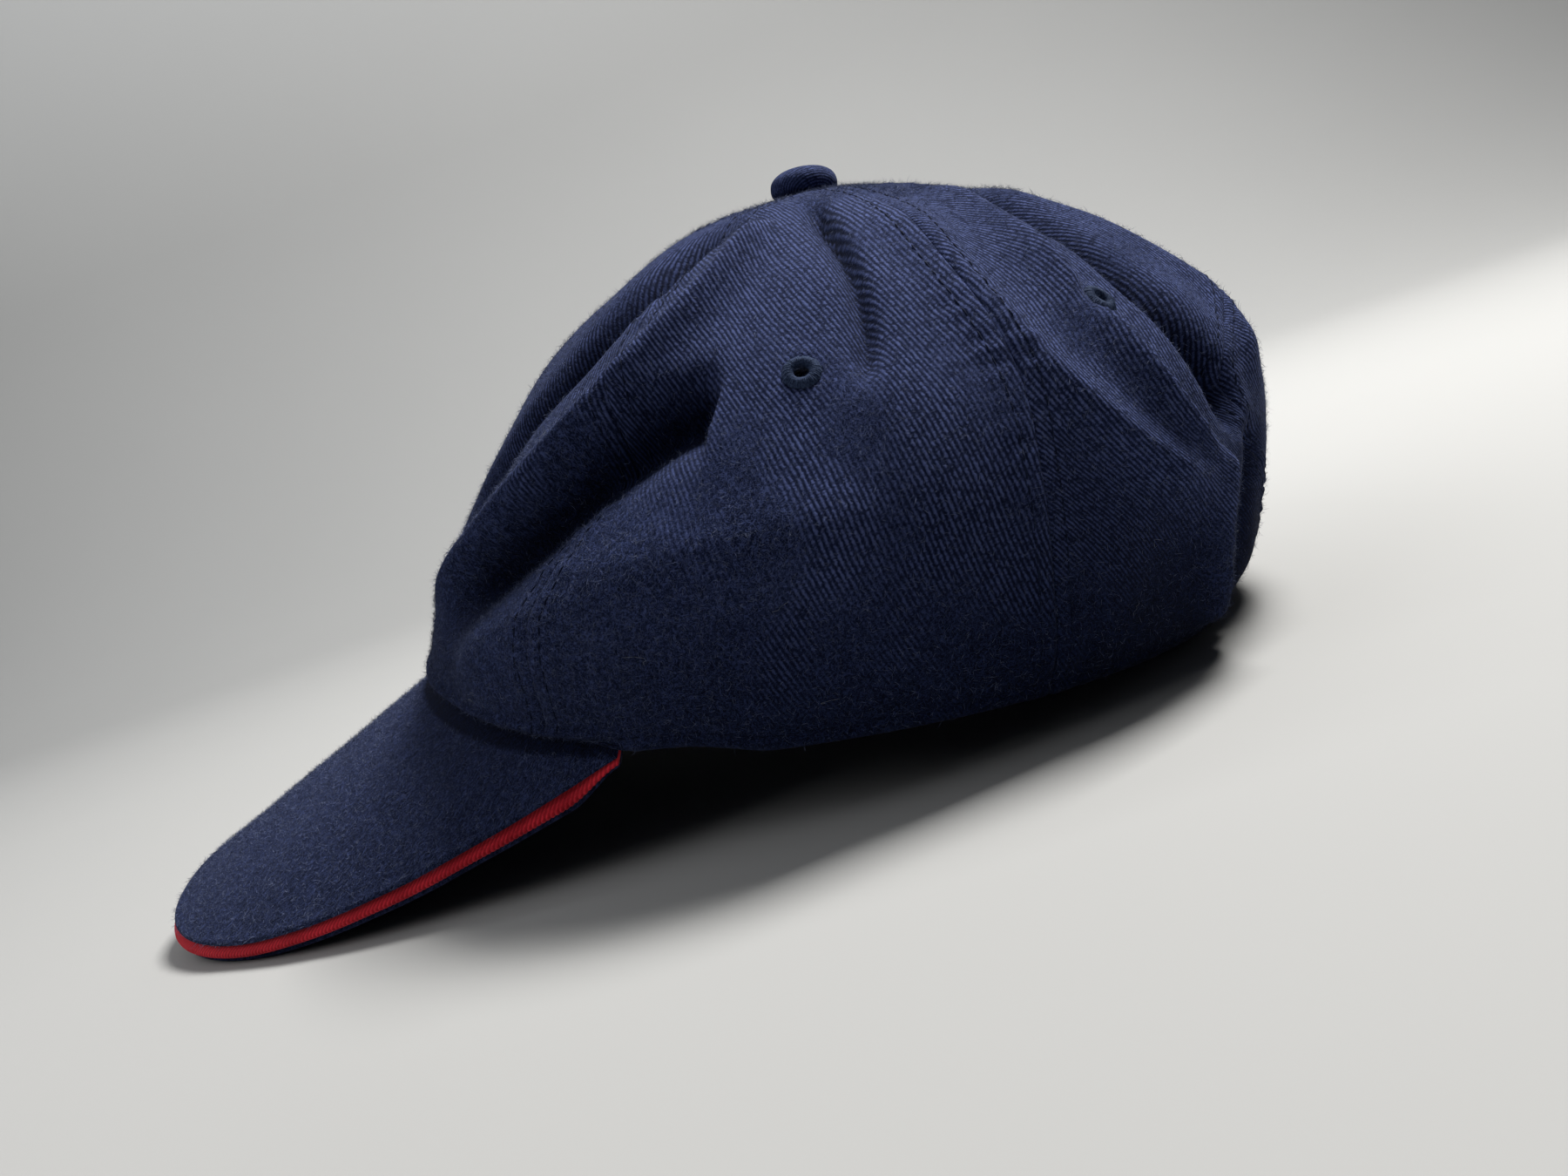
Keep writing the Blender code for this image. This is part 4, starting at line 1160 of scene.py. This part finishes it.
def cover_section(cover, reach, thin):
    """The section of a cloth cover whose outer edge is turned under and stitched: each point's distance in
    from the peak's edge and its depth."""
    half = cover.thick * thin / 2
    body = np.linspace(0, 1, PEAK_ROWS)[1:, None] ** PEAK_ROW_CROWDING
    near_edge = np.array(PEAK_EDGE_STEPS)[:, None]
    room = np.maximum(reach - near_edge[0], 0)
    near_root = reach - np.array(PEAK_ROOT_STEPS)[:, None] * np.minimum(room / PEAK_ROOT_REACH, 1)
    between = near_root[-1] * (1 - body) + near_edge[0] * body
    inward = np.minimum(np.concatenate([near_root, between, near_edge[1:] + 0 * reach]), reach)
    roll = np.clip(1 - inward / half, 0, 1)
    rounding = half * (1 - np.sqrt(1 - roll**2))
    dip = PEAK_STITCH_DIP * dent(inward - PEAK_STITCH_INSET, STITCH_DIP_WIDTH)
    swell = PEAK_EDGE_SWELL * hump(inward - PEAK_STITCH_INSET / 2, PEAK_STITCH_INSET / 2)
    relief = (dip - swell) * ease(reach / (6 * PEAK_STITCH_INSET))
    upper = cover.depth * thin + rounding + (relief if cover.upward else 0)
    lower = cover.depth * thin + 2 * half - rounding - (0 if cover.upward else relief)
    inward = inward - cover.stands_out * thin * (1 - ease(inward / (0.5 * reach)))
    return np.concatenate([inward, inward[::-1]]), np.concatenate([upper, lower[::-1]])


def trim_section(reach, thin, along):
    """The section of the ribbed tape: flat inside the peak, rounded and ribbed where it stands out."""
    half = PEAK_TRIM_THICK / 2 * thin
    middle = (PEAK_TOP_THICK + PEAK_LAYER_GAP) * thin + half
    turn = np.radians(np.linspace(90, -90, TRIM_ROUND_STEPS))[:, None]
    rib = TRIM_RIB_RISE * (0.5 + 0.5 * np.cos(2 * math.pi * along / TRIM_RIB_PITCH)) * thin
    bulge = (TRIM_STANDS_OUT * thin + rib) * np.cos(turn) ** TRIM_ROUNDNESS
    band = np.minimum(PEAK_TRIM_BAND, reach / 2) + 0 * turn[:1]
    inward = np.concatenate([band, TRIM_ROUND_IN - bulge - TRIM_ROUND_IN * np.cos(turn), band])
    depth = middle + half * np.concatenate([-1 + 0 * band, -np.sin(turn) + 0 * band, 1 + 0 * band])
    return inward, depth


def make_peak(pose, cloth, red):
    """The peak's upper cover, the tape in its edge and its lower cover."""
    layers = [
        ("peak_cover", UPPER_COVER, cloth, "navy_twill", "peak_top"),
        ("peak_tape", None, red, "red_tape", "peak_trim"),
        ("peak_lower_cover", LOWER_COVER, cloth, "navy_twill", "peak_under"),
    ]
    for name, cover, look, slot, node in layers:
        points, _, weave = peak_layer(cover)
        faces = tube(numbered(*points.shape[:2]).T, True)
        piece(name, mesh_of(name, moved(points, pose), faces, weave), look, slot, node)


def line_on(outer, out, way, distance):
    """A line over the rows of a panel at this distance along them: points and outward directions. way is how
    far each of the panel's points lies along its row. Rows that are too short are left out."""
    line = []
    for points, ways, row_way in zip(outer, out, way):
        if row_way.max() >= STITCHED_ROW * distance:
            order = np.argsort(row_way)
            line.append([at_places(distance, row_way[order], row[order]) for row in (points, ways)])
    return np.moveaxis(np.array(line), 1, 0)


def stitch_points(line, ways):
    """The points and faces of the stitches along one line."""
    way = walked(line, 0)
    count = int(way[-1] / STITCH_PITCH)
    if count < 1:
        return np.zeros((0, 3)), []
    t = np.linspace(0, 1, STITCH_STEPS)
    starts = STITCH_PITCH * (np.arange(count) + 0.5 * (1 - STITCH_LENGTH / STITCH_PITCH))
    at = starts[:, None] + t * STITCH_LENGTH
    spine = at_places(at, way, line)
    up = unit(at_places(at, way, ways))
    side = np.cross(unit(np.gradient(spine, axis=1)), up)
    arch = STITCH_RADIUS * (STITCH_ARCH * np.sin(math.pi * t) ** STITCH_ARCH_POWER - STITCH_SUNK)
    round_end = np.sin(math.pi * (0.04 + 0.92 * t)) ** STITCH_END_POWER
    thick = STITCH_RADIUS * np.maximum(round_end, STITCH_LEAST)
    turn = 2 * math.pi * np.arange(STITCH_SIDES) / STITCH_SIDES
    ring = side[:, :, None] * np.cos(turn)[:, None] + up[:, :, None] * np.sin(turn)[:, None]
    points = (spine + up * arch[:, None])[:, :, None] + ring * thick[:, None, None]
    return points.reshape(-1, 3), tube(numbered(count, STITCH_STEPS, STITCH_SIDES), True)


def make_stitches(name, lines, look):
    """One piece that holds the stitches along all of these lines."""
    points, faces = [], []
    first = 0
    for line, ways in lines:
        some, found = stitch_points(line, ways)
        faces += [[k + first for k in face] for face in found]
        points.append(some)
        first += len(some)
    piece(name, mesh_of(name, np.concatenate(points), faces), look, "navy_thread")


def make_all_stitches(surfaces, look):
    """The stitches beside each seam and over the hem."""
    hems = []
    for name in SIDES:
        beside = []
        for number in range(len(PANELS)):
            outer, out, _, way, up = surfaces[name, number]
            for from_seam in (way, way[:, -1:] - way):
                beside.append(line_on(outer, out, from_seam, SEAM_STITCH_OFFSET))
            hems.append(line_on(outer.swapaxes(0, 1), out.swapaxes(0, 1), up.T, HEM_ROLL))
        make_stitches(f"seam_stitches_{name}", beside, look)
    make_stitches("hem_stitches", hems, look)


def fibres(name, surfaces, count, look, seed):
    """Short curled fibres that stand out of brushed cloth. Each surface is a grid of points, of outward
    directions and of how thick the fibres stand."""
    draw = np.random.default_rng(seed)
    roots, ways = [], []
    total = sum(outer.size for outer, _, _ in surfaces)
    for outer, out, thickness in surfaces:
        first = outer[:-1, :-1]
        area = np.linalg.norm(np.cross(outer[:-1, 1:] - first, outer[1:, :-1] - first), axis=-1)
        weight = (area * thickness[:-1, :-1]).reshape(-1)
        some = int(count * outer.size / total)
        cell = draw.choice(len(weight), some, p=weight / weight.sum())
        i, j = np.unravel_index(cell, area.shape)
        across, upward = draw.uniform(0, 1, (2, some, 1))
        roots.append(at_cells(outer, i, j, upward, across))
        ways.append(out[i, j])
    root, out = np.concatenate(roots), np.concatenate(ways)
    some = len(root)
    lie = draw.normal(size=(some, 3))
    lie = unit(lie - out * np.sum(lie * out, -1, keepdims=True))
    half = FIBRE_LENGTH / 2 * draw.uniform(*FIBRE_LENGTHS, (some, 1))
    start = unit(lie + out * draw.uniform(*FIBRE_RISES, (some, 1)))
    end = unit(start + draw.normal(size=(some, 3)) * FIBRE_CURL)
    middle = root + start * half
    tip = middle + end * half
    side = unit(np.cross(start, draw.normal(size=(some, 3)))) * FIBRE_HALF_WIDTH
    points = np.stack([root - side, root + side, middle + side, middle - side, tip], 1)
    number = numbered(some, 5)
    faces = number[:, [0, 1, 2, 3]].tolist() + number[:, [3, 2, 4]].tolist()
    piece(name, mesh_of(name, points, faces), look, "navy_twill")


def lint(name, surfaces, look, seed):
    """A few long curly fibres that cling to the cloth."""
    draw = np.random.default_rng(seed)
    points, faces = [], []
    for number in range(LINT_FIBRES):
        outer, out = surfaces[draw.integers(len(surfaces))][:2]
        heading = draw.uniform(0, 2 * math.pi)
        curl = draw.normal(size=LINT_STEPS) * LINT_CURL
        heading = heading + np.cumsum(curl + draw.normal() * LINT_BEND)
        step = LINT_LENGTH * draw.uniform(*LINT_LENGTHS) / LINT_STEPS / LINT_CELL
        i = draw.uniform(LINT_MARGIN, outer.shape[0] - LINT_TOP_MARGIN) + np.cumsum(np.sin(heading)) * step
        j = draw.uniform(LINT_MARGIN, outer.shape[1] - LINT_MARGIN) + np.cumsum(np.cos(heading)) * step
        i, j = (np.clip(way, 0, size - 1.001) for way, size in zip((i, j), outer.shape))
        a, b = i.astype(int), j.astype(int)
        normal = out[a, b]
        lift = LINT_LIFT * (1 + np.sin(np.linspace(0, math.pi * draw.uniform(1, 3), LINT_STEPS)) ** 2)
        spine = at_cells(outer, a, b, (i - a)[:, None], (j - b)[:, None]) + normal * lift[:, None]
        side = unit(np.cross(np.gradient(spine, axis=0), normal)) * LINT_HALF_WIDTH
        ring = np.stack([spine - side, spine + normal * LINT_HALF_WIDTH, spine + side], 1)
        points.append(ring.reshape(-1, 3))
        faces += tube(number * LINT_STEPS * 3 + numbered(LINT_STEPS, 3))
    piece(name, mesh_of(name, np.concatenate(points), faces), look, "navy_twill")


def make_floor():
    """A pale floor that curves up into a backdrop."""
    profile = [(-FLOOR_FRONT, 0.0), (0.0, 0.0), (FLOOR_FLAT, 0.0)]
    for turn in np.radians(np.linspace(90 / FLOOR_BEND_STEPS, 90, FLOOR_BEND_STEPS)):
        away = FLOOR_FLAT + FLOOR_BEND * math.sin(turn)
        profile.append((away, FLOOR_BEND - FLOOR_BEND * math.cos(turn)))
    profile.append((FLOOR_FLAT + FLOOR_BEND, FLOOR_TOP))
    points = [(-away, along, height) for away, height in profile for along in (-FLOOR_SIDE, FLOOR_SIDE)]
    faces = [(2 * k, 2 * k + 1, 2 * k + 3, 2 * k + 2) for k in range(len(profile) - 1)]
    mesh = mesh_of("floor", np.array(points), faces)
    g = Graph("pale_floor")
    shade = g.noise(g.place(), *FLOOR_NOISE)
    colour = g.colour(shade, *FLOOR_COLOURS)
    mesh.materials.append(g.finish(colour, shade, FLOOR_RELIEF, FLOOR_ROUGHNESS, NO_SHEEN))
    placed("floor", mesh)


def make_lights():
    """Soft light, and colours shown as they are."""
    scene = bpy.context.scene
    for row in LAMPS:
        lamp = bpy.data.lights.new(row.name, "AREA")
        lamp.shape = "RECTANGLE"
        lamp.size = row.width
        lamp.size_y = row.height
        lamp.energy = row.power
        lamp.color = row.colour
        ob = placed(row.name, lamp)
        ob.location = row.place
        ob.rotation_euler = (Vector(row.aim) - Vector(row.place)).to_track_quat("-Z", "Y").to_euler()
    world = bpy.data.worlds.new("studio")
    world.use_nodes = True
    inputs = world.node_tree.nodes["Background"].inputs
    inputs["Color"].default_value = (*WORLD_COLOUR, 1)
    inputs["Strength"].default_value = WORLD_STRENGTH
    scene.world = world
    scene.view_settings.view_transform = "Standard"
    scene.view_settings.look = "None"


def make_camera(pose):
    """The photograph's camera, in its place before the cap."""
    azimuth, elevation, roll = (math.radians(a) for a in (CAMERA_AZIMUTH, CAMERA_ELEVATION, CAMERA_ROLL))
    level = math.cos(elevation)
    back = Vector((level * math.cos(azimuth), level * math.sin(azimuth), math.sin(elevation)))
    level_right = Vector((-math.sin(azimuth), math.cos(azimuth), 0))
    level_up = back.cross(level_right)
    right = level_right * math.cos(roll) + level_up * math.sin(roll)
    up = level_up * math.cos(roll) - level_right * math.sin(roll)
    turned = Matrix((right, up, back)).transposed().to_4x4()
    camera = bpy.data.cameras.new("camera")
    camera.lens = CAMERA_LENS_MM
    camera.sensor_width = CAMERA_SENSOR_MM
    camera.clip_start = CAMERA_NEAR
    ob = placed("camera", camera)
    ob.matrix_world = pose @ Matrix.Translation(Vector(CAMERA_AIM) + back * CAMERA_DISTANCE) @ turned
    bpy.context.scene.camera = ob


def node_middle(node):
    """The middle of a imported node's box."""
    low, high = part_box(node)
    return (low + high) / 2


def find_pose():
    """Where the cap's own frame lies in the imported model's: at rest, with the button where the model's is."""
    hems = []
    for name in SIDES:
        points, out = panel_base(name, len(PANELS) - 1)[:2]
        hems += [points[0], points[0] - out[0] * CLOTH]
    below = peak_layer(LOWER_COVER)[0]
    pose = rest_pose(np.concatenate(hems), below.reshape(-1, 3))
    button = pose @ Vector((0, APEX_SETBACK, CROWN_HEIGHT + BUTTON_GAP + BUTTON_THICK / 2))
    shift = node_middle("top_button") - button
    return Matrix.Translation((shift.x, shift.y, 0)) @ pose


def main():
    """Builds the cap and its stage."""
    pose = find_pose()
    crown_cloth = twill("navy_twill_cloth", CROWN_SHEEN)
    peak_cloth = twill("navy_peak_cloth", PEAK_SHEEN)
    sewing = strands("navy_sewing_thread", THREAD, SEWING_COLOURS, SEWING_SHEEN)
    satin = strands("navy_eyelet_thread", THREAD, SATIN_COLOURS, SATIN_SHEEN)
    red = tape("red_ribbed_tape", TAPE_COLOURS, TAPE_SHEEN)
    loose = strands("loose_navy_fibre", FLUFF, FIBRE_COLOURS, NO_SHEEN)
    pale = strands("pale_lint", FLUFF, LINT_COLOURS, NO_SHEEN)

    eyelets = {}
    for name in SIDES:
        for number, part in ((1, "side"), (2, "rear")):
            eyelets[name, number] = np.array(node_middle(f"eyelet_{part}_{name}"))
    surfaces = make_crown(pose, crown_cloth, eyelets)
    make_eyelets(eyelets, satin)
    make_button(pose, crown_cloth)
    make_peak(pose, peak_cloth, red)
    make_all_stitches(surfaces, sewing)
    halves = {name: [s for (side, _), s in surfaces.items() if side == name] for name in SIDES}
    if FIBRES:
        for name, half in halves.items():
            napped = []
            for s in half:
                # Fibres stand thicker where there is nap and thinner where the cloth is painted shaded
                thickness = (FIBRES_WITHOUT_NAP + s.weave[..., 2]) * (FIBRES_IN_PAINTED_SHADE + s.weave[..., 3])
                napped.append((s.outer, s.out, thickness))
            fibres(f"nap_crown_{name}", napped, FIBRES, loose, CROWN_FIBRE_SEED)
        points, out, weave = (grid[: len(grid) // 2] for grid in peak_layer(UPPER_COVER))
        top = moved(points, pose), turned_by(out, pose), weave[..., 3]
        fibres("nap_peak", [top], PEAK_FIBRES, loose, PEAK_FIBRE_SEED)
    for seed, (name, half) in enumerate(halves.items(), LINT_SEED):
        lint(f"lint_{name}", half, pale, seed)
    make_floor()
    make_lights()
    make_camera(pose)


main()
